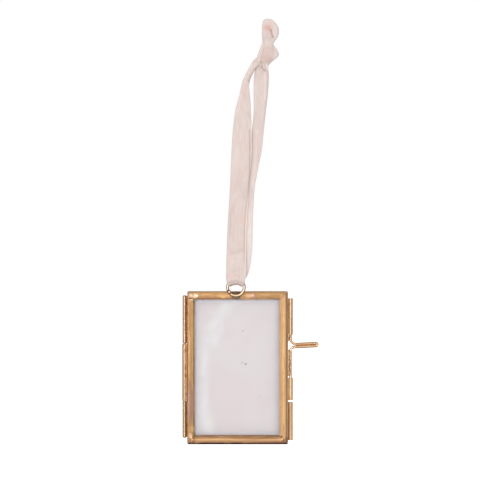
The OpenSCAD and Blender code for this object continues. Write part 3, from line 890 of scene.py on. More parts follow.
@dataclass(frozen=True)
class BlushSilk:
    """Soft blush silk: a fine plain weave, lengthwise slubs and a low sheen.

    Thread is how many times a millimetre the weave repeats.
    """

    name: str = "blush_silk"
    light: Colour = srgb(232, 216, 209)
    middle: Colour = srgb(223, 206, 199)
    shade: Colour = srgb(206, 187, 181)
    blush: Colour = srgb(232, 198, 187)
    hem: Colour = srgb(208, 199, 199)
    crest: Colour = srgb(252, 241, 236)
    hollow: Colour = srgb(164, 130, 112)
    glow: Colour = srgb(222, 160, 140)
    thread: float = 9.0

    def material(self) -> bpy.types.Material:
        """Makes the cloth from its own map: U across the ribbon and V along it, in mm.

        The tones drawn on the mesh then paint light on its ridges and shade in its folds, and
        warm it, with pink spots and painted light glowing through thin cloth.

        Returns:
            The new material.
        """
        g = Surface(self.name)
        cloth = g.add("UVMap", {"uv_map": "cloth"}).outputs[0]
        u, v, _ = g.split(cloth)
        slub = g.noise(g.join(g.math("MULTIPLY", u, 2.2), g.math("MULTIPLY", v, 0.14), 0.0),
                       1.0, 4.0)
        cloud = g.noise(g.object_mm(), 0.11, 3.0)
        tone = g.mix(g.step(slub, 0.32, 0.68), self.middle, self.light)
        tone = g.tint(tone, g.step(cloud, 0.45, 0.3), 0.35, self.shade)
        tone = g.tint(tone, g.step(cloud, 0.55, 0.7), 0.35, self.blush)
        weft = g.math("SINE", g.math("MULTIPLY", v, TURN * self.thread))
        warp = g.math("SINE", g.math("MULTIPLY", u, TURN * self.thread))
        weave = g.math("MULTIPLY", weft, warp)
        tone = g.tint(tone, g.math("ADD", weave, 1.0), 0.03, self.shade)
        drawn, flush, edge = (g.add("Attribute", {"attribute_name": label}).outputs["Fac"]
                              for label in ("tone", "flush", "edge"))
        tone = g.tint(tone, edge, 0.7, self.hem)
        # Painted light and shade: crest lightens where the drawn tone is above 0 and hollow
        # darkens where it is below; glow warms the cloth with pink tone and painted light
        # glowing through it.
        tone = g.mix(g.math("MAXIMUM", drawn, 0.0, True), tone, self.crest)
        tone = g.mix(g.math("MULTIPLY", g.math("MINIMUM", drawn, 0.0), -1.0, True), tone,
                     self.hollow)
        tone = g.mix(g.math("MAXIMUM", flush, 0.0, True), tone, self.glow)
        normal = g.bump(slub, 0.0002, 0.5)
        normal = g.bump(weave, 0.000012, 0.35, normal)
        g.principled(Base_Color=tone, Roughness=0.62, Sheen_Weight=0.25,
                     Sheen_Roughness=0.45, Specular_IOR_Level=0.35, Normal=normal,
                     Subsurface_Weight=0.1, Subsurface_Radius=(0.0008, 0.0007, 0.0006),
                     Subsurface_Scale=1.0)
        return g.material


def make_object(name: str, vertices: np.ndarray, quads: np.ndarray,
                uv: np.ndarray | None = None,
                tones: dict[str, np.ndarray] | None = None) -> bpy.types.Object:
    """Puts whole arrays into a mesh object at the origin.

    Args:
        name: the piece's name.
        vertices: one row a vertex, in metres in the row frame.
        quads: one row a face, four vertex numbers.
        uv: cloth coordinates, one row a vertex, or None.
        tones: values that the material reads, one a vertex, by attribute name.

    Returns:
        The new smooth-shaded object.
    """
    mesh = bpy.data.meshes.new(name)
    mesh.from_pydata(vertices.tolist(), [], quads.tolist())
    if uv is not None:
        layer = mesh.uv_layers.new(name="cloth")
        loops = np.empty(len(mesh.loops), np.int32)
        mesh.loops.foreach_get("vertex_index", loops)
        layer.data.foreach_set("uv", uv[loops].astype(np.float32).ravel())
    for label, values in (tones or {}).items():
        attribute = mesh.attributes.new(label, "FLOAT", "POINT")
        attribute.data.foreach_set("value", values.astype(np.float32))
    mesh.polygons.foreach_set("use_smooth", np.ones(len(mesh.polygons), bool))
    mesh.update()
    mesh.validate()
    made = bpy.data.objects.new(name, mesh)
    bpy.context.scene.collection.objects.link(made)
    return made


def tube_quads(rows: int, around: int, first: int = 0) -> np.ndarray:
    """Gives the faces of a grid that closes across its columns.

    Each face joins a point, its neighbour in the ring, and the same two points of the
    next ring. The two ends are closed by folding each end ring flat on itself.

    Args:
        rows: how many rings there are.
        around: how many points a ring has, an even number.
        first: the number of the first ring's first vertex.

    Returns:
        One row a face, four vertex numbers.
    """
    ring = np.arange(around)
    along = np.arange(rows - 1)[:, None] * around
    beside = (ring + 1) % around
    walls = np.stack([along + ring, along + beside, along + around + beside,
                      along + around + ring], axis=-1).reshape(-1, 4)
    low = np.arange(around // 2 - 1)
    lid = np.stack([low, low + 1, around - 2 - low, around - 1 - low], axis=-1)
    far = (rows - 1) * around
    return np.vstack([walls, lid[:, ::-1], lid + far]) + first


def catmull(rows: np.ndarray, steps: int) -> np.ndarray:
    """Gives a smooth curve through the rows of a table.

    Each stretch between two rows is the cubic whose slope at a row is half the
    difference of the rows on both sides of it.

    Args:
        rows: the table, one place a row.
        steps: how many rows the curve has from one row of the table to the next.

    Returns:
        The curve's rows.
    """
    padded = np.vstack([rows[:1], rows, rows[-1:]])
    a, b, c, d = (padded[i:len(padded) - 3 + i, None] for i in range(4))
    t = (np.arange(steps) / steps)[None, :, None]
    cubic = 0.5 * (2 * b + (c - a) * t + (2 * a - 5 * b + 4 * c - d) * t ** 2
                   + (3 * b - a - 3 * c + d) * t ** 3)
    return np.vstack([cubic.reshape(-1, rows.shape[1]), rows[-1:]])


def turn_angles(points: int) -> np.ndarray:
    """Gives the angles of evenly spaced points round a ring, as one row."""
    return np.linspace(0, TURN, points, endpoint=False)[None, :]


def unit_rows(vectors: np.ndarray) -> np.ndarray:
    """Scales each row to length 1."""
    return vectors / np.linalg.norm(vectors, axis=-1, keepdims=True)


@dataclass(frozen=True)
class Crease:
    """A fold line in the cloth, with its path given by places in the photograph.

    Reach is its half width in mm, and lift how far the cloth rises there towards the
    viewer. Tone paints light above 0 and shade below it, and flush warms the cloth with
    pink tone and painted light glowing through it.
    """

    path: tuple[tuple[float, float], ...]
    reach: float
    lift: float = 0.0
    tone: float = 0.0
    flush: float = 0.0

    def weight(self, x: np.ndarray, z: np.ndarray) -> np.ndarray:
        """Gives each point's share of the crease.

        The share falls with the distance to the path in the X-Z plane as a bell curve.

        Args:
            x: the points' X coordinates.
            z: their Z coordinates.

        Returns:
            A share from 0 to 1 for each point.
        """
        stops = [row_place(*pixel) for pixel in self.path]
        nearest = np.full(x.shape, np.inf)
        for (x0, z0), (x1, z1) in zip(stops[:-1], stops[1:]):
            run, rise = x1 - x0, z1 - z0
            square = max(run * run + rise * rise, 1e-9)
            t = np.clip(((x - x0) * run + (z - z0) * rise) / square, 0, 1)
            nearest = np.minimum(nearest, np.hypot(x - x0 - t * run, z - z0 - t * rise))
        return np.exp(-(nearest / self.reach) ** 2)


@dataclass
class Cloth:
    """One stretch of cloth as a closed skin of rings, before it joins the ribbon's mesh.

    Front is each point's share of the viewer's side, and edge its share of the hem.
    """

    points: np.ndarray
    front: np.ndarray
    edge: np.ndarray
    uv: np.ndarray
    tone: np.ndarray = field(init=False)
    flush: np.ndarray = field(init=False)

    def __post_init__(self) -> None:
        """Starts with plain cloth, without drawn tones."""
        self.tone = np.zeros(self.points.shape[:2])
        self.flush = np.zeros(self.points.shape[:2])

    def press(self, creases: Sequence[Crease], drawn: np.ndarray | float = 1.0,
              lifted: np.ndarray | float = 1.0) -> None:
        """Presses creases into the cloth.

        Args:
            creases: the fold lines and spots.
            drawn: the share of the tones and the lift that each point gets.
            lifted: the share of the lift alone that each point gets.
        """
        for crease in creases:
            weight = crease.weight(self.points[..., 0], self.points[..., 2]) * drawn
            self.points[..., 1] -= crease.lift * weight * lifted
            self.tone += crease.tone * weight
            self.flush += crease.flush * weight


@dataclass
class Ribbon:
    """One length of silk ribbon through the ring: two strands, the knot and its small loop.

    A row of a route is the cloth's middle from the ring's centre, in shares of the
    knot's lean, the strands' clearance and the drop, then the way its face looks, its
    width and thickness as shares, and how far its edges bend towards the face. A row
    of a fold is a pixel height, the pixels of its left and right edges, and its middle
    depth and thickness in mm. A pleat is its waves across the cloth and along each mm,
    and its share of the pleats' height. A wrinkle's waves each have a number across the
    cloth within wave_across, a slant up to wave_slant, and a size that falls by
    wave_fade. Back_map sets the back's map apart from the front's. Flat_width and
    flat_length are in metres and are not used.
    """

    lean: float = 16.1
    clearance: float = 1.3
    drop: float = 118.0
    strand_width: float = 9.9
    strand_thickness: float = 0.9
    ring_centre: tuple[float, float, float] = (-8.9, 0.0, -109.976)
    around: int = 80
    steps: int = 17
    flat_width: float = 0.010
    flat_length: float = 0.300
    waves: int = 14
    wave_across: tuple[float, float] = (1.5, 9.0)
    wave_slant: float = 0.35
    wave_fade: float = 0.35
    wave_sum: float = 4.0
    pleats: tuple[tuple[float, float, float], ...] = ((3.2, 0.05, 0.5), (6.1, -0.09, 0.35))
    pleat_rise: float = 0.14
    gather_span: tuple[float, float] = (0.5, 1.4)
    ripple_reach: float = 0.13
    curl_reach: float = 1.1
    pillow_rise: float = 0.13
    back_map: float = 40.0
    loop: Table = (
        (0.975, -0.23, 1.005, 0, -1, 0, 0.30, 1.8, 0),
        (0.814, -0.62, 0.992, 0, -1, 0, 0.32, 1.8, 0),
        (0.640, -0.77, 0.974, 0, -1, 0, 0.34, 1.6, 0),
        (0.478, -0.85, 0.938, 0, -1, 0, 0.34, 1.5, 0),
        (0.360, -0.85, 0.905, 0, -1, 0, 0.36, 1.4, 0),
        (0.298, -0.85, 0.870, 0, -1, 0, 0.42, 1.2, 0),
        (0.273, -0.85, 0.820, 0, -1, 0, 0.60, 1, 0),
        (0.227, -0.92, 0.760, 0, -1, 0, 0.83, 1, 0),
        (0.199, -1, 0.680, 0, -1, 0, 0.97, 1, 0),
        (0.167, -0.6, 0.550, 0, -1, 0, 1.05, 1, 0),
        (0.107, -0.4, 0.420, 0, -1, 0, 0.98, 1, 0),
        (0.050, -0.45, 0.290, 0, -1, 0, 0.99, 1, 0),
        (0.013, -0.65, 0.160, 0, -1, 0, 1.01, 1, 0),
        (0.002, -1.05, 0.075, 0, -1, 0, 1.01, 1, 0),
        (-0.006, -1.28, 0.044, 0, -1, 0, 1.01, 1, 0.09),
        (-0.006, -1.15, 0.023, 0, -0.85, -0.5, 0.90, 1.0, 0.7),
        (0, 0, 0.0145, 0, 0, -1, 0.62, 1.1, 1.1),
        (0.019, 1.1, 0.024, 0, 0.85, -0.5, 0.70, 0.9, 0.8),
        (0.124, 1.31, 0.044, 0, 1, 0, 0.55, 1, 0.09),
        (0.242, 1.05, 0.075, 0, 1, 0, 0.60, 1, 0),
        (0.323, 0.55, 0.160, 0, 1, 0, 0.62, 1, 0),
        (0.354, 0.40, 0.290, 0, 1, 0, 0.62, 1, 0),
        (0.398, 0.40, 0.420, 0, 1, 0, 0.62, 1, 0),
        (0.528, 0.55, 0.510, 0, 1, 0, 0.56, 1, 0),
        (0.640, 0.77, 0.600, 0, 1, 0, 0.61, 1, 0),
        (0.708, 0.69, 0.690, 0, 1, 0, 0.61, 1, 0),
        (0.758, 0.62, 0.765, 0, 1, 0, 0.63, 1, 0),
        (0.789, 0.54, 0.840, 0, 1, 0, 0.75, 1, 0),
        (0.814, 0.46, 0.915, 0, 1, 0, 0.76, 1, 0),
        (0.832, 0.38, 0.958, 0, 1, 0, 0.58, 1.2, 0),
        (0.932, 0.23, 1.000, 0, 1, 0, 0.36, 1.6, 0))
    tuft_front: Table = (
        (18.7, 266.8, 269.2, 0.0, 0.5), (19.4, 264.6, 271.6, -0.2, 1.2),
        (21.0, 263.0, 273.8, -0.4, 1.8), (23.5, 262.2, 276.0, -0.6, 2.2),
        (27.0, 261.9, 278.2, -0.7, 2.4), (31.0, 261.8, 279.0, -0.7, 2.4),
        (35.0, 261.8, 278.6, -0.7, 2.4), (38.5, 261.9, 276.8, -0.7, 2.3),
        (41.5, 262.1, 274.6, -0.6, 1.9), (44.5, 262.2, 273.0, -0.3, 1.1),
        (46.0, 263.0, 272.0, 0.0, 0.4))
    knot_front: Table = (
        (34.0, 265.0, 270.5, -0.4, 0.3), (37.0, 263.4, 271.8, -0.75, 1.75),
        (40.5, 262.5, 272.6, -0.9, 1.9),
        (43.0, 262.1, 273.0, -1.1, 2.3),
        (45.5, 261.2, 273.9, -1.2, 2.6), (48.5, 260.0, 276.2, -1.2, 3.0),
        (51.5, 258.9, 278.0, -1.2, 3.2), (54.8, 257.7, 278.8, -1.2, 3.3),
        (57.5, 256.9, 277.2, -1.2, 3.3), (60.0, 256.5, 274.2, -1.2, 3.2),
        (62.5, 257.0, 271.0, -1.1, 2.8), (64.8, 258.4, 268.8, -0.9, 1.8),
        (66.5, 259.8, 267.8, -0.6, 0.6))
    knot_back: Table = (
        (39.0, 264.0, 272.0, 0.7, 0.6), (41.0, 262.6, 272.8, 0.9, 1.6),
        (45.0, 261.4, 274.0, 1.2, 2.4),
        (50.0, 259.6, 277.0, 1.4, 3.0), (54.8, 258.0, 278.4, 1.4, 3.2),
        (58.5, 257.0, 275.6, 1.3, 3.0), (62.0, 257.6, 271.2, 1.1, 2.6),
        (65.5, 259.4, 268.4, 0.8, 1.2), (67.0, 261.0, 267.0, 0.6, 0.4))
    flank_fold: Table = (
        (39.5, 262.4, 263.6, -1.2, 0.3), (43.0, 261.9, 264.4, -2.0, 0.8),
        (47.0, 260.4, 263.6, -2.3, 0.9), (51.0, 258.9, 262.6, -2.4, 0.9),
        (55.0, 257.4, 261.6, -2.4, 0.9), (58.5, 256.4, 260.7, -2.3, 0.9),
        (61.5, 256.6, 260.0, -1.9, 0.8), (64.0, 257.6, 259.6, -1.2, 0.4))
    tail_fold: Table = (
        (60.5, 262.4, 265.6, -1.3, 0.4), (63.0, 261.6, 267.2, -1.7, 0.8),
        (66.0, 261.7, 268.1, -1.8, 0.9), (69.0, 262.6, 268.2, -1.5, 0.8),
        (71.4, 264.8, 267.6, -0.9, 0.4))
    # The creases' tones paint light on ridges and shade in folds.
    strand_creases: tuple[Crease, ...] = (
        Crease(((251.6, 127), (251.8, 150), (251.4, 172), (250.2, 186), (248.0, 204),
                (246.6, 222), (246.0, 262), (245.4, 276)), 0.42, 0.12, 0.9),
        Crease(((249.9, 130), (250.0, 150), (249.8, 172), (248.2, 192)), 0.45, -0.18, -0.4),
        Crease(((248.2, 192), (246.0, 212), (244.6, 225), (244.0, 262)), 0.4, -0.18, -0.25),
        Crease(((231, 253), (237, 252), (243, 249.5)), 0.8, -0.12, -0.14),
        Crease(((233, 257), (243, 255.5)), 0.9, 0.12, 0.12),
        Crease(((231, 271), (243, 269)), 0.8, -0.1, -0.08),
        Crease(((232, 262), (242, 261)), 1.4, 0.0, 0.1),
        Crease(((229.6, 282.4), (236, 281), (242.5, 282.6)), 0.8, -0.1, -0.3),
        Crease(((229.8, 286.0), (232, 285.0), (236, 284.2), (240, 285.2), (241.4, 286.6)),
               0.45, 0.0, -0.8),
        Crease(((228.8, 274.5), (229.4, 277)), 1.0, 0.0, 0.0, 0.2),
        Crease(((235.6, 275), (238, 276)), 1.2, 0.0, 0.0, 0.2),
        Crease(((230.4, 215), (229.8, 236)), 0.4, 0.0, -0.2),
        Crease(((255.4, 68.5), (253.2, 72.6), (250.5, 76.9), (248.6, 81.5)), 0.62, 0.0,
               -0.5),
        Crease(((253.6, 62.4), (256.4, 61.6)), 0.6, 0.0, -0.2),
        Crease(((252.0, 65.5), (247.4, 71.5), (244.8, 78)), 0.6, 0.12, 0.25),
        Crease(((243.5, 84), (240, 96), (237, 112)), 0.8, 0.0, 0.15),
        Crease(((244.8, 86), (244.4, 98)), 1.0, 0.0, 0.0, 0.16),
        Crease(((236, 150), (235, 165)), 2.0, 0.0, 0.15),
        Crease(((240, 172), (236, 190)), 1.6, 0.0, -0.08),
        Crease(((233, 205), (232, 240)), 1.2, 0.0, -0.06))
    # Painted light: some back-strand creases lighten the cloth to lift the shade that the front
    # strand casts on it.
    back_creases: tuple[Crease, ...] = (
        Crease(((265.3, 71), (265.6, 84), (265.2, 100)), 0.45, 0.15, 0.4),
        Crease(((266.9, 73), (267.1, 84), (266.4, 104), (264.8, 124)), 0.4, -0.15, -0.25),
        Crease(((255.6, 84), (255.2, 110)), 0.5, 0.1, 0.2),
        Crease(((256.5, 130), (255.0, 165), (252.0, 190)), 0.6, 0.1, 0.25),
        Crease(((250.4, 214), (249.0, 240), (247.6, 276)), 2.2, 0.0, 0.26),
        Crease(((249.4, 232), (249.0, 246), (247.6, 276)), 2.2, 0.0, 0.24),
        Crease(((250.6, 203), (249.4, 232)), 1.4, 0.0, 0.16),
        Crease(((252.5, 172), (251.8, 184)), 0.9, 0.0, 0.1, 0.08),
        Crease(((257.6, 64), (257.4, 72)), 0.6, 0.12, 0.3))
    knot_creases: tuple[Crease, ...] = (
        Crease(((263.8, 43), (263.1, 49.7), (261.7, 55.4), (261.0, 60)), 0.5, -0.1, -0.1),
        Crease(((260.7, 63.2), (261.2, 62.4)), 0.5, -0.25, -0.55),
        Crease(((264.4, 64.4), (265.2, 64.0)), 0.45, -0.2, -0.4),
        Crease(((261.6, 61.8), (265.0, 63.4), (269.4, 62.6)), 0.7, -0.15, -0.14),
        Crease(((273.2, 45.6), (273.0, 50.0), (273.4, 55.0), (271.6, 60.5)), 0.8, -0.15,
               -0.08),
        Crease(((276.2, 51.5), (277.0, 55.0), (275.0, 58.2)), 0.9, 0.15, 0.2),
        Crease(((265.0, 48.0), (273.0, 47.6)), 0.6, -0.1, -0.06),
        Crease(((264.4, 43.0), (271.6, 43.0)), 1.3, 0.1, 0.14),
        Crease(((265.5, 50.0), (271.4, 51.5)), 2.2, 0.0, -0.08, 0.12),
        Crease(((262.5, 57.0), (268.0, 61.0)), 2.6, 0.0, -0.12, 0.04),
        Crease(((265.0, 58.5), (270.0, 59.5)), 1.5, 0.0, -0.1, 0.1))
    tail_creases: tuple[Crease, ...] = (
        Crease(((261.8, 62), (261.9, 66), (262.8, 69.2), (265.0, 71.0)), 0.42, 0.0, -0.4),
        Crease(((264.8, 63.5), (265.2, 67), (265.6, 70)), 0.4, -0.2, -0.14),
        Crease(((266.6, 63), (267.2, 68)), 0.5, 0.0, 0.25))
    flank_creases: tuple[Crease, ...] = (
        Crease(((262.8, 43), (261.6, 48), (260.2, 53), (258.6, 58)), 0.4, 0.0, 0.1),)
    tuft_creases: tuple[Crease, ...] = (
        Crease(((270.9, 30.4), (271.7, 34.2), (272.8, 37.2)), 0.42, -0.6, -0.5, 0.25),
        Crease(((269.4, 27.6), (270.9, 30.4)), 0.5, -0.3, -0.15, 0.2),
        Crease(((272.8, 37.2), (273.2, 43.0)), 0.5, -0.25, -0.1),
        Crease(((272.4, 40.2), (273.2, 41.6)), 0.5, 0.05, 0.4),
        Crease(((266.4, 27.8), (268.0, 28.0)), 1.4, -0.2, -0.05, 0.46),
        Crease(((264.4, 38.8), (265.0, 39.2)), 0.45, -0.1, -0.2),
        Crease(((263.8, 22.4), (268.0, 20.2), (273.0, 22.2)), 1.0, 0.1, 0.2),
        Crease(((264.2, 30.0), (264.6, 36.0)), 1.0, 0.15, 0.08),
        Crease(((266.5, 32.0), (268.5, 42.0)), 2.2, 0.0, -0.1),
        Crease(((275.4, 26.0), (276.2, 32.0), (274.8, 37.0)), 0.9, 0.2, 0.22))

    def places(self, rows: np.ndarray) -> np.ndarray:
        """Gives the cloth's middle line in mm: shares times sizes, from the ring's centre."""
        sizes = np.array([self.lean, self.clearance, self.drop])
        return np.array(self.ring_centre) + rows[:, :3] * sizes

    def wrinkles(self, u: np.ndarray, s: np.ndarray, seed: int) -> np.ndarray:
        """Gives a height for soft creases that run mostly along the cloth.

        It is a sum of sine waves of u and s, each with a seeded slant, phase and size,
        so it is the same at every run.

        Args:
            u: the place across the cloth.
            s: the place along it, in mm.
            seed: the number that sets the waves.

        Returns:
            A height for each point, mostly from -1 to 1.
        """
        rng = np.random.default_rng(seed)
        total = np.zeros(np.broadcast(u, s).shape)
        for octave in range(self.waves):
            across = rng.uniform(*self.wave_across)
            along = rng.uniform(-self.wave_slant, self.wave_slant)
            phase = rng.uniform(0, TURN)
            wave = np.sin(across * u + along * s + phase)
            total = total + wave / (1 + self.wave_fade * octave)
        return total / self.wave_sum

    def section(self) -> tuple[np.ndarray, np.ndarray, np.ndarray]:
        """Works out the flat lens that the cloth's cross-section is.

        The share across is the cosine of the way, and the thickness follows its sine
        to a power, so that the lens closes at two sharp folded edges.

        Returns:
            The way round the lens, its share across, and its share of thickness.
        """
        way = (np.arange(self.around) + 0.5) / self.around * 2 * math.pi
        lens = np.sign(np.sin(way)) * np.abs(np.sin(way)) ** 0.7
        return way, np.cos(way), lens

    def strip(self, rows: Sequence[Sequence[float]], seed: int) -> Cloth:
        """Sweeps gathered cloth along a route.

        Across and out are square to the route, with out on the side of the face.
        Pleats and wrinkles move both layers, deeper where the cloth is gathered
        narrow, and the curl bends the edges towards the face.

        Args:
            rows: the route's rows.
            seed: the number that sets the pleats and wrinkles.

        Returns:
            The strand's cloth.
        """
        table = catmull(np.array(rows, float), self.steps)
        middle = self.places(table)
        along = unit_rows(np.gradient(middle, axis=0))
        across = unit_rows(np.cross(table[:, 3:6], along))
        out = unit_rows(np.cross(along, across))
        step = np.linalg.norm(np.diff(middle, axis=0), axis=-1)
        length = np.concatenate([[0.0], np.cumsum(step)])[:, None]
        way, u, lens = self.section()
        u = u[None, :]
        width = table[:, 6, None] * self.strand_width
        thick = table[:, 7, None] * self.strand_thickness
        curl = table[:, 8, None] * self.curl_reach
        gather = np.clip(1.6 - width / self.strand_width, *self.gather_span)
        folds = sum(np.cos(waves * u + slant * length + number * seed) * share
                    for number, (waves, slant, share) in enumerate(self.pleats, 1))
        rise = self.pleat_rise * gather * (folds
                                           + 0.6 * self.wrinkles(3.0 * u, length, seed))
        ripple = self.ripple_reach * self.wrinkles(np.sign(u), 0.8 * length, seed + 5)
        height = thick / 2 * lens[None, :] + rise * (1 - 0.35 * u ** 2) + curl * u ** 2
        side = width / 2 * u + ripple * np.abs(u) ** 6
        points = middle[:, None] + across[:, None] * side[..., None] \
            + out[:, None] * height[..., None]
        front = lens[None, :] * -out[:, 1, None]
        uv = np.stack([np.broadcast_to(width * way[None, :] / math.pi, side.shape),
                       np.broadcast_to(length, side.shape)], axis=-1)
        edge = np.broadcast_to(np.abs(u) ** 10, side.shape)
        return Cloth(points, front, edge, uv)

    def fold(self, rows: Sequence[Sequence[float]], seed: int) -> Cloth:
        """Fills a fold's outline with a soft pillow of cloth.

        Each level ring runs from the left to the right edge. Its two sides bulge by
        the lens, with small seeded wrinkles that fade at the edges.

        Args:
            rows: the fold's rows.
            seed: the number that sets the wrinkles.

        Returns:
            The fold's cloth.
        """
        table = catmull(np.array(rows, float), self.steps)
        _, u, lens = self.section()
        left, z = row_place(table[:, 1], table[:, 0])
        right, _ = row_place(table[:, 2], table[:, 0])
        middle, half = (left + right)[:, None] / 2, (right - left)[:, None] / 2
        level = np.broadcast_to(z[:, None], (len(z), self.around))
        x = middle + half * u[None, :]
        soft = self.wrinkles(1.3 * x, 1.8 * level, seed) * np.abs(lens)[None, :]
        depth = table[:, 3, None] - table[:, 4, None] / 2 * lens[None, :] \
            - self.pillow_rise * soft
        points = np.stack([x, depth, level], axis=-1)
        uv = np.stack([x + np.where(lens < 0, self.back_map, 0.0)[None, :], level], axis=-1)
        edge = np.broadcast_to((np.abs(u) ** 6)[None, :], x.shape)
        return Cloth(points, np.broadcast_to(lens[None, :], x.shape), edge, uv)

    def stretches(self) -> list[Cloth]:
        """Makes every stretch of cloth, with its creases pressed in.

        The loop's creases move both sides of the thin cloth, on the front or the back
        strand alone, and a fold's creases move only the viewer's side.

        Returns:
            The long loop and then the folds of the knot and the small loop.
        """
        loop = self.strip(self.loop, 3)
        between = self.ring_centre[1] + 0.2
        is_front = loop.points[..., 1].mean(axis=1, keepdims=True) < between
        loop.press(self.strand_creases, drawn=is_front)
        loop.press(self.back_creases, drawn=~is_front)
        made = [loop]
        for rows, seed, creases in (
                (self.tuft_front, 8, self.tuft_creases),
                (self.knot_front, 12, self.knot_creases), (self.knot_back, 14, ()),
                (self.flank_fold, 17, self.flank_creases),
                (self.tail_fold, 21, self.tail_creases)):
            cloth = self.fold(rows, seed)
            cloth.press(creases, lifted=np.clip(cloth.front, 0, 1))
            made.append(cloth)
        return made

    def build(self) -> bpy.types.Object:
        """Makes the whole ribbon as one mesh, which replaces the plain CAD solid.

        Returns:
            The ribbon's object.
        """
        parts = self.stretches()
        first = np.cumsum([0] + [part.tone.size for part in parts])
        quads = [tube_quads(len(part.points), self.around, n)
                 for part, n in zip(parts, first)]
        tones = {name: np.concatenate([getattr(part, name).ravel() for part in parts])
                 for name in ("tone", "flush", "edge")}
        made = make_object(
            "ribbon_cloth", MM * np.vstack([part.points.reshape(-1, 3) for part in parts]),
            np.vstack(quads), np.vstack([part.uv.reshape(-1, 2) for part in parts]), tones)
        made.data.materials.append(BlushSilk().material())
        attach(made, "front_half")
        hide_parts("ribbon")
        return made


@dataclass
class Metalwork:
    """The CAD's brass, solder, glass and card nodes, and three small pieces beside them.

    The nodes only get their finishes. The fields that start with end are for the ring
    wire's cut end, those with run for the solder beside the bolt's legs, and those with
    fill for the filler bead between the pull's legs, which stands in for the shade where
    they meet.
    """

    hinge_x: float = -35.2
    latch_x: float = 19.15
    wall_x: float = 17.8
    bolt_y: float = 3.95
    hairpin: Hairpin = Hairpin()
    end_place: tuple[float, float] = (-12.32, -112.326)
    end_radius: float = 0.95
    end_round: float = 0.3
    end_front: float = -1.0
    end_rings: tuple[int, int] = (6, 9)
    end_around: int = 48
    pin_hole: float = 0.002
    run_spans: tuple[tuple[float, float], ...] = ((-155.6, -141.8), (-137.7, -133.2))
    run_rise: float = 1.15
    run_reach: float = 0.8
    run_taper: float = 0.8
    run_y: float = 2.1
    run_rings_per_mm: int = 18
    run_around: int = 14
    fill_span: tuple[float, float] = (21.9, 32.3)
    fill_depth: float = 0.5
    fill_height: float = 0.22
    fill_taper: float = 0.6
    fill_rings: int = 60
    fill_around: int = 16

    def dress(self, names: Sequence[str], material: bpy.types.Material) -> None:
        """Gives a finish to CAD nodes in place of the plain one that they came with.

        Args:
            names: the nodes' names.
            material: their new finish.
        """
        for name in names:
            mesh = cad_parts[name].data
            mesh.materials.clear()
            mesh.materials.append(material)
            LOG.info("dressed %s", name)

    def build(self) -> None:
        """Dresses every CAD node, and adds the three small pieces."""
        self.dress_halves()
        self.dress_latch()
        self.dress_hinge()
        self.dress_solder()
        for made in (self.seam_run(), self.wire_end(), self.groove_shade_fill()):
            LOG.info("added %s", made.name)

    def dress_halves(self) -> None:
        """Dresses the two channels, their panes, the card and the ring."""
        self.dress(["front_frame"], AgedBrass().material())
        self.dress(["back_frame"], AgedBrass("aged_brass_back", patches=()).material())
        self.dress(["front_glass", "back_glass"], ClearGlass().material())
        self.dress(["insert_card"], MattCard().material())
        self.dress(["hanging_ring"], RingBrass().material())

    def dress_latch(self) -> None:
        """Dresses the bolt, its two guides and its keeper, with the seam to the left."""
        on_wall = DrawnBrass(axis_x=self.latch_x, seam=Side.HINGE.value)
        # The bolt's seam tone is painted shade beside the wall and in its pull's groove.
        self.dress(["latch_bolt"],
                   replace(on_wall, name="bolt_brass", gold=srgb(248, 212, 172),
                           deep=srgb(228, 188, 146), smear=srgb(206, 162, 122),
                           seam_tone=srgb(150, 96, 56), polish=(0.16, 0.26),
                           hairpin=self.hairpin).material())
        self.dress(["bolt_guide_upper", "bolt_guide_lower"],
                   replace(on_wall, name="guide_brass", gold=srgb(252, 212, 168),
                           deep=srgb(238, 192, 144), smear=srgb(206, 160, 118),
                           smear_share=0.3, seam_tone=srgb(206, 160, 116),
                           seam_share=0.3, flank_shade=srgb(196, 154, 112),
                           polish=(0.22, 0.32)).material())
        # Painted light: the keeper's seam side takes a tone lighter than its metal, lifting the
        # shade of the gap beside the wall.
        self.dress(["bolt_keeper"],
                   replace(on_wall, name="keeper_brass", gold=srgb(222, 182, 138),
                           deep=srgb(208, 166, 122), smear=srgb(190, 150, 112),
                           smear_share=0.3, seam_tone=srgb(236, 198, 156),
                           seam_share=0.8, polish=(0.38, 0.48),
                           metal=0.6).material())

    def dress_hinge(self) -> None:
        """Dresses the hinge's pin and its three tubes, with the seam to the right."""
        self.dress(["hinge_pin"], DrawnBrass().material())
        barrel = DrawnBrass(smear_share=0.35, axis_x=self.hinge_x, seam=Side.LATCH.value,
                            flank_span=(-0.12, -0.75), polish=(0.3, 0.4))
        # Painted light: the top knuckle's seam side is lighter than its metal, lifting the
        # shade of the gap beside the wall; each knuckle's flank_shade is painted shade.
        self.dress(["hinge_knuckle_top"],
                   replace(barrel, name="hinge_top_brass", gold=srgb(214, 180, 152),
                           deep=srgb(196, 160, 128), smear=srgb(180, 142, 112),
                           seam_tone=srgb(240, 194, 154), seam_share=0.8,
                           seam_band=(0.55, 1.35), flank_shade=srgb(168, 138, 118)).material())
        self.dress(["hinge_knuckle_middle"],
                   replace(barrel, name="hinge_middle_brass", gold=srgb(226, 190, 160),
                           deep=srgb(210, 172, 138), smear=srgb(186, 146, 114),
                           seam_tone=srgb(150, 106, 72), seam_share=0.85,
                           seam_band=(0.4, 1.3), flank_shade=srgb(172, 142, 120)).material())
        self.dress(["hinge_knuckle_bottom"],
                   replace(barrel, name="hinge_foot_brass", gold=srgb(218, 186, 146),
                           deep=srgb(200, 166, 124), smear=srgb(174, 140, 98),
                           seam_tone=srgb(174, 130, 86), seam_share=0.85,
                           flank_shade=srgb(152, 124, 98)).material())

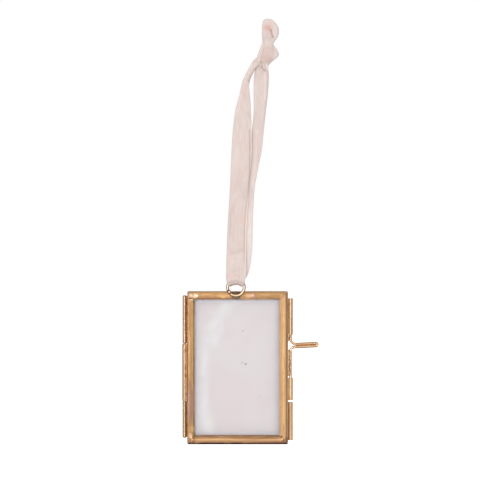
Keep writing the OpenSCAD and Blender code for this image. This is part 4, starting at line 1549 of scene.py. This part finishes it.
    def dress_solder(self) -> None:
        """Dresses the solder on the corners and along the ring and the tubes."""
        self.dress(["front_corner_solder"],
                   AgedBrass("front_corner_metal", polish=(0.45, 0.6)).material())
        self.dress(["back_corner_solder"],
                   SolderMetal(crest=srgb(214, 170, 126), hollow=srgb(170, 128, 92)).material())
        # Painted shadow: the solder under the ring is dark grey, the ring's shadow on the bar.
        self.dress(["ring_solder"], SolderMetal("ring_solder", crest=srgb(146, 126, 108),
                                                hollow=srgb(98, 82, 70)).material())
        # Painted light: the solder at the keeper and the guides is pale, lifting the shade of
        # the gap beside the wall.
        self.dress(["keeper_solder", "bolt_guide_solder"],
                   SolderMetal("latch_seam", crest=srgb(255, 216, 164),
                               hollow=srgb(238, 182, 126), lump=0.4).material())
        # Painted light: the hinge's end solder is lighter, lifting the shade of the gap between
        # the barrel and the wall.
        self.dress(["hinge_end_solder"],
                   SolderMetal("seam_solder", crest=srgb(240, 194, 148),
                               hollow=srgb(180, 132, 88), lump=0.5).material())
        self.dress(["hinge_middle_solder"],
                   SolderMetal("middle_seam_solder", crest=srgb(196, 150, 112),
                               hollow=srgb(146, 102, 68), lump=0.5).material())

    def wire_end(self) -> bpy.types.Object:
        """Adds the ring wire's cut end, which is turned a little towards the viewer.

        It is a profile of radius and depth turned once round an axis along Y: a flat
        disc with a quarter-round edge on a short stub.

        Returns:
            The new piece.
        """
        face_rings, bend_rings = self.end_rings
        bend = np.linspace(0, math.pi / 2, bend_rings)[1:]
        inner = self.end_radius - self.end_round
        radius = np.concatenate([np.linspace(0.0, inner, face_rings),
                                 inner + self.end_round * np.sin(bend),
                                 [self.end_radius]])
        depth = np.concatenate([np.full(face_rings, self.end_front),
                                self.end_front + self.end_round * (1 - np.cos(bend)),
                                [0.0]])
        radius[0] = self.pin_hole
        way = turn_angles(self.end_around)
        x = self.end_place[0] + radius[:, None] * np.cos(way)
        z = self.end_place[1] + radius[:, None] * np.sin(way)
        y = np.broadcast_to(depth[:, None], x.shape)
        points = np.stack([x, y, z], axis=-1)
        made = make_object("ring_wire_end", MM * points.reshape(-1, 3),
                           tube_quads(len(points), way.size))
        made.data.materials.append(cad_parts["hanging_ring"].data.materials[0])
        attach(made, "front_half")
        return made

    def seam_run(self) -> bpy.types.Object:
        """Adds the thin runs of solder on the front half beside the bolt's two legs.

        Each is a swept half bead on the side wall. Its height wavers with two sine
        waves of Z, it tapers at its ends, and it stays clear of the bolt's wire.

        Returns:
            The new piece.
        """
        way = turn_angles(self.run_around)
        points, quads = [], []
        for low, high in self.run_spans:
            z = np.linspace(low, high, int((high - low) * self.run_rings_per_mm))[:, None]
            wave = 0.78 + 0.13 * np.sin(1.3 * z) + 0.09 * np.sin(3.1 * z + 1.0)
            end = np.minimum(1.0, np.minimum(z - low, high - z) / self.run_taper)
            size = np.sqrt(np.clip(end, 0.02, 1.0)) * wave
            x = self.wall_x + self.run_rise * size * np.clip(np.cos(way), -0.15, 1)
            y = self.run_y + self.run_reach * size * np.sin(way)
            quads.append(tube_quads(len(z), way.size, sum(len(p) for p in points)))
            points.append(np.stack([x, y, np.broadcast_to(z, x.shape)], -1).reshape(-1, 3))
        made = make_object("seam_solder_run", MM * np.vstack(points), np.vstack(quads))
        made.data.materials.append(
            SolderMetal("run_solder", crest=srgb(236, 192, 150), hollow=srgb(170, 124, 88),
                        lump=0.8).material())
        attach(made, "front_half")
        return made

    def groove_shade_fill(self) -> bpy.types.Object:
        """Adds a thin filler bead between the pull's two legs, which stands in for the shade
        where they meet.

        It is a slim ellipse in the Y-Z plane, swept along the pull's middle line, and
        near each end it tapers with the root of the distance to that end.

        Returns:
            The new piece.
        """
        x = np.linspace(*self.fill_span, self.fill_rings)[:, None]
        way = turn_angles(self.fill_around)
        end = np.minimum(x - x.min(), x.max() - x) / self.fill_taper
        size = np.sqrt(np.clip(end, 0.03, 1.0))
        middle = self.hairpin.slope * x + self.hairpin.level
        z = middle + self.fill_height * size * np.cos(way)
        y = self.bolt_y - self.fill_depth * size * np.sin(way)
        points = np.stack([np.broadcast_to(x, z.shape), y, z], axis=-1)
        made = make_object("pull_groove_shade", MM * points.reshape(-1, 3),
                           tube_quads(len(x), way.size))
        # Painted shade: the bead's brown stands for the shaded line where the pull's legs meet.
        made.data.materials.append(
            SolderMetal("groove_shade_metal", crest=srgb(248, 184, 122),
                        hollow=srgb(206, 142, 88), lump=0.8).material())
        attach(made, "latch_bolt")
        return made


@dataclass(frozen=True)
class Panel:
    """A flat dark panel from one corner to the opposite one, in metres.

    It is upright where both corners have the same X, and level where they have the
    same Z.
    """

    name: str
    near: tuple[float, float, float]
    far: tuple[float, float, float]
    tone: Colour = srgb(120, 104, 92)

    def corners(self) -> Sequence[Sequence[float]]:
        """Works out the panel's corners.

        Returns:
            The four corners in order round it.
        """
        (x0, y0, z0), (x1, y1, z1) = self.near, self.far
        upright = ((x0, y0, z0), (x0, y1, z0), (x0, y1, z1), (x0, y0, z1))
        level = ((x0, y0, z0), (x1, y0, z0), (x1, y1, z0), (x0, y1, z0))
        return upright if x0 == x1 else level


@dataclass
class Studio:
    """Camera, soft lights, pale floor and white background of the photograph, in metres.

    Floor_span is the floor's half width, its near edge and its far edge. Matt_light is
    the background's strength for light that falls on matt surfaces.
    """

    distance: float = 1.2
    view_width: float = 0.2453
    view_centre: tuple[float, float] = (-0.0068, -0.0858)
    sensor_width: float = 36
    clip: tuple[float, float] = (0.05, 20)
    lamp_aim: float = -0.14
    floor_level: float = -0.225
    floor_span: tuple[float, float, float] = (4, -3, 5)
    floor_glow: float = 0.6
    matt_light: float = 0.78
    panels: tuple[Panel, ...] = (
        Panel("panel_left", (-0.45, -0.45, -0.5), (-0.45, -0.28, 0.3)),
        Panel("panel_left_far", (-0.45, 0.15, -0.5), (-0.45, 0.5, 0.3)),
        Panel("panel_right", (0.5, -0.65, -0.5), (0.5, 0.02, 0.3)),
        Panel("panel_top", (-0.4, -0.2, 0.3), (0.4, 0.5, 0.3), srgb(186, 168, 154)),
        Panel("panel_low", (-0.12, -0.05, -0.22), (0.12, 0.05, -0.22)))

    def camera(self) -> None:
        """Puts a long lens straight in front, wide enough for the photograph's frame."""
        data = bpy.data.cameras.new("photo_camera")
        data.sensor_width = self.sensor_width
        data.lens = data.sensor_width * self.distance / self.view_width
        data.clip_start, data.clip_end = self.clip
        camera = bpy.data.objects.new("photo_camera", data)
        bpy.context.scene.collection.objects.link(camera)
        camera.location = (self.view_centre[0], -self.distance, self.view_centre[1])
        camera.rotation_euler = (math.pi / 2, 0, 0)
        bpy.context.scene.camera = camera

    def lamp(self, name: str, place: Sequence[float], size: tuple[float, float],
             power: float, in_mirrors: bool = True) -> None:
        """Adds a rectangular soft light that points at the middle of the frame.

        Args:
            name: the light's name.
            place: where it stands.
            size: its width and height.
            power: its power in watts.
            in_mirrors: True lets reflections show it.
        """
        data = bpy.data.lights.new(name, "AREA")
        data.shape = "RECTANGLE"
        data.size, data.size_y = size
        data.energy = power
        made = bpy.data.objects.new(name, data)
        bpy.context.scene.collection.objects.link(made)
        made.location = place
        made.visible_glossy = in_mirrors
        aim = Vector((self.view_centre[0], 0, self.lamp_aim)) - Vector(place)
        made.rotation_euler = aim.to_track_quat("-Z", "Y").to_euler()

    def plane(self, name: str, corners: Sequence[Sequence[float]],
              material: bpy.types.Material) -> bpy.types.Object:
        """Adds a flat piece of the studio.

        Args:
            name: its name.
            corners: its four corners, in order round it.
            material: its finish.

        Returns:
            The new piece.
        """
        made = make_object(name, np.array(corners, float), np.array([[0, 1, 2, 3]]))
        made.data.materials.append(material)
        return made

    def floor(self) -> None:
        """Adds the pale floor: a white glow for the camera over a diffuse white.

        Mirrors see it as one even tone, so that no lamp's edge shows in the glass.
        """
        white = (1, 1, 1, 1)
        g = Surface("pale_floor")
        g.principled(Base_Color=srgb(240, 240, 240), Roughness=0.9)
        path = g.add("LightPath").outputs
        seen = g.math("MAXIMUM", path["Is Camera Ray"], path["Is Transmission Ray"])
        g.principled(Emission_Color=white,
                     Emission_Strength=g.math("MULTIPLY", seen, self.floor_glow))
        even = g.add("Emission", Color=white, Strength=1.0)
        g.swap_where(path["Is Glossy Ray"], even.outputs[0])
        side, near, far = self.floor_span
        z = self.floor_level
        self.plane("studio_floor", ((-side, near, z), (side, near, z), (side, far, z),
                                    (-side, far, z)), g.material)

    def flags(self) -> None:
        """Adds dark panels that only reflections see, which edge the brass."""
        for panel in self.panels:
            g = Surface(panel.name)
            g.principled(Base_Color=panel.tone, Roughness=0.9)
            made = self.plane(panel.name, panel.corners(), g.material)
            made.visible_camera = False
            made.visible_diffuse = False
            made.visible_shadow = False
            made.visible_transmission = False

    def world(self) -> None:
        """Lights from all round: white to camera and mirrors, softer on matt surfaces."""
        world = bpy.data.worlds.new("soft_studio")
        world.use_nodes = True
        g = Graph(world.node_tree)
        path = g.add("LightPath").outputs
        seen = g.math("MAXIMUM", path["Is Camera Ray"], path["Is Glossy Ray"])
        seen = g.math("MAXIMUM", seen, path["Is Transmission Ray"])
        background = world.node_tree.nodes["Background"]
        g.put(background.inputs["Strength"], g.span(seen, (self.matt_light, 1.0)))
        g.put(background.inputs["Color"], (1, 1, 1, 1))
        bpy.context.scene.world = world

    def build(self) -> None:
        """Sets up the whole studio."""
        bpy.context.scene.view_settings.view_transform = "Standard"
        self.camera()
        self.lamp("key_light", (0.85, -0.75, -0.6), (0.5, 0.5), 10.5, False)
        self.lamp("front_light", (0.15, -1.6, -0.2), (0.7, 0.7), 4.5, False)
        self.lamp("strip_light", (-0.45, -1.25, -0.05), (0.16, 0.9), 4.5)
        self.floor()
        self.flags()
        self.world()


def main() -> None:
    """Builds the finishes, the ribbon and the studio."""
    logging.basicConfig(level=logging.INFO, format="%(message)s")
    Metalwork().build()
    ribbon = Ribbon().build()
    LOG.info("built %s with %d faces", ribbon.name, len(ribbon.data.polygons))
    Studio().build()


if __name__ == "__main__":
    main()
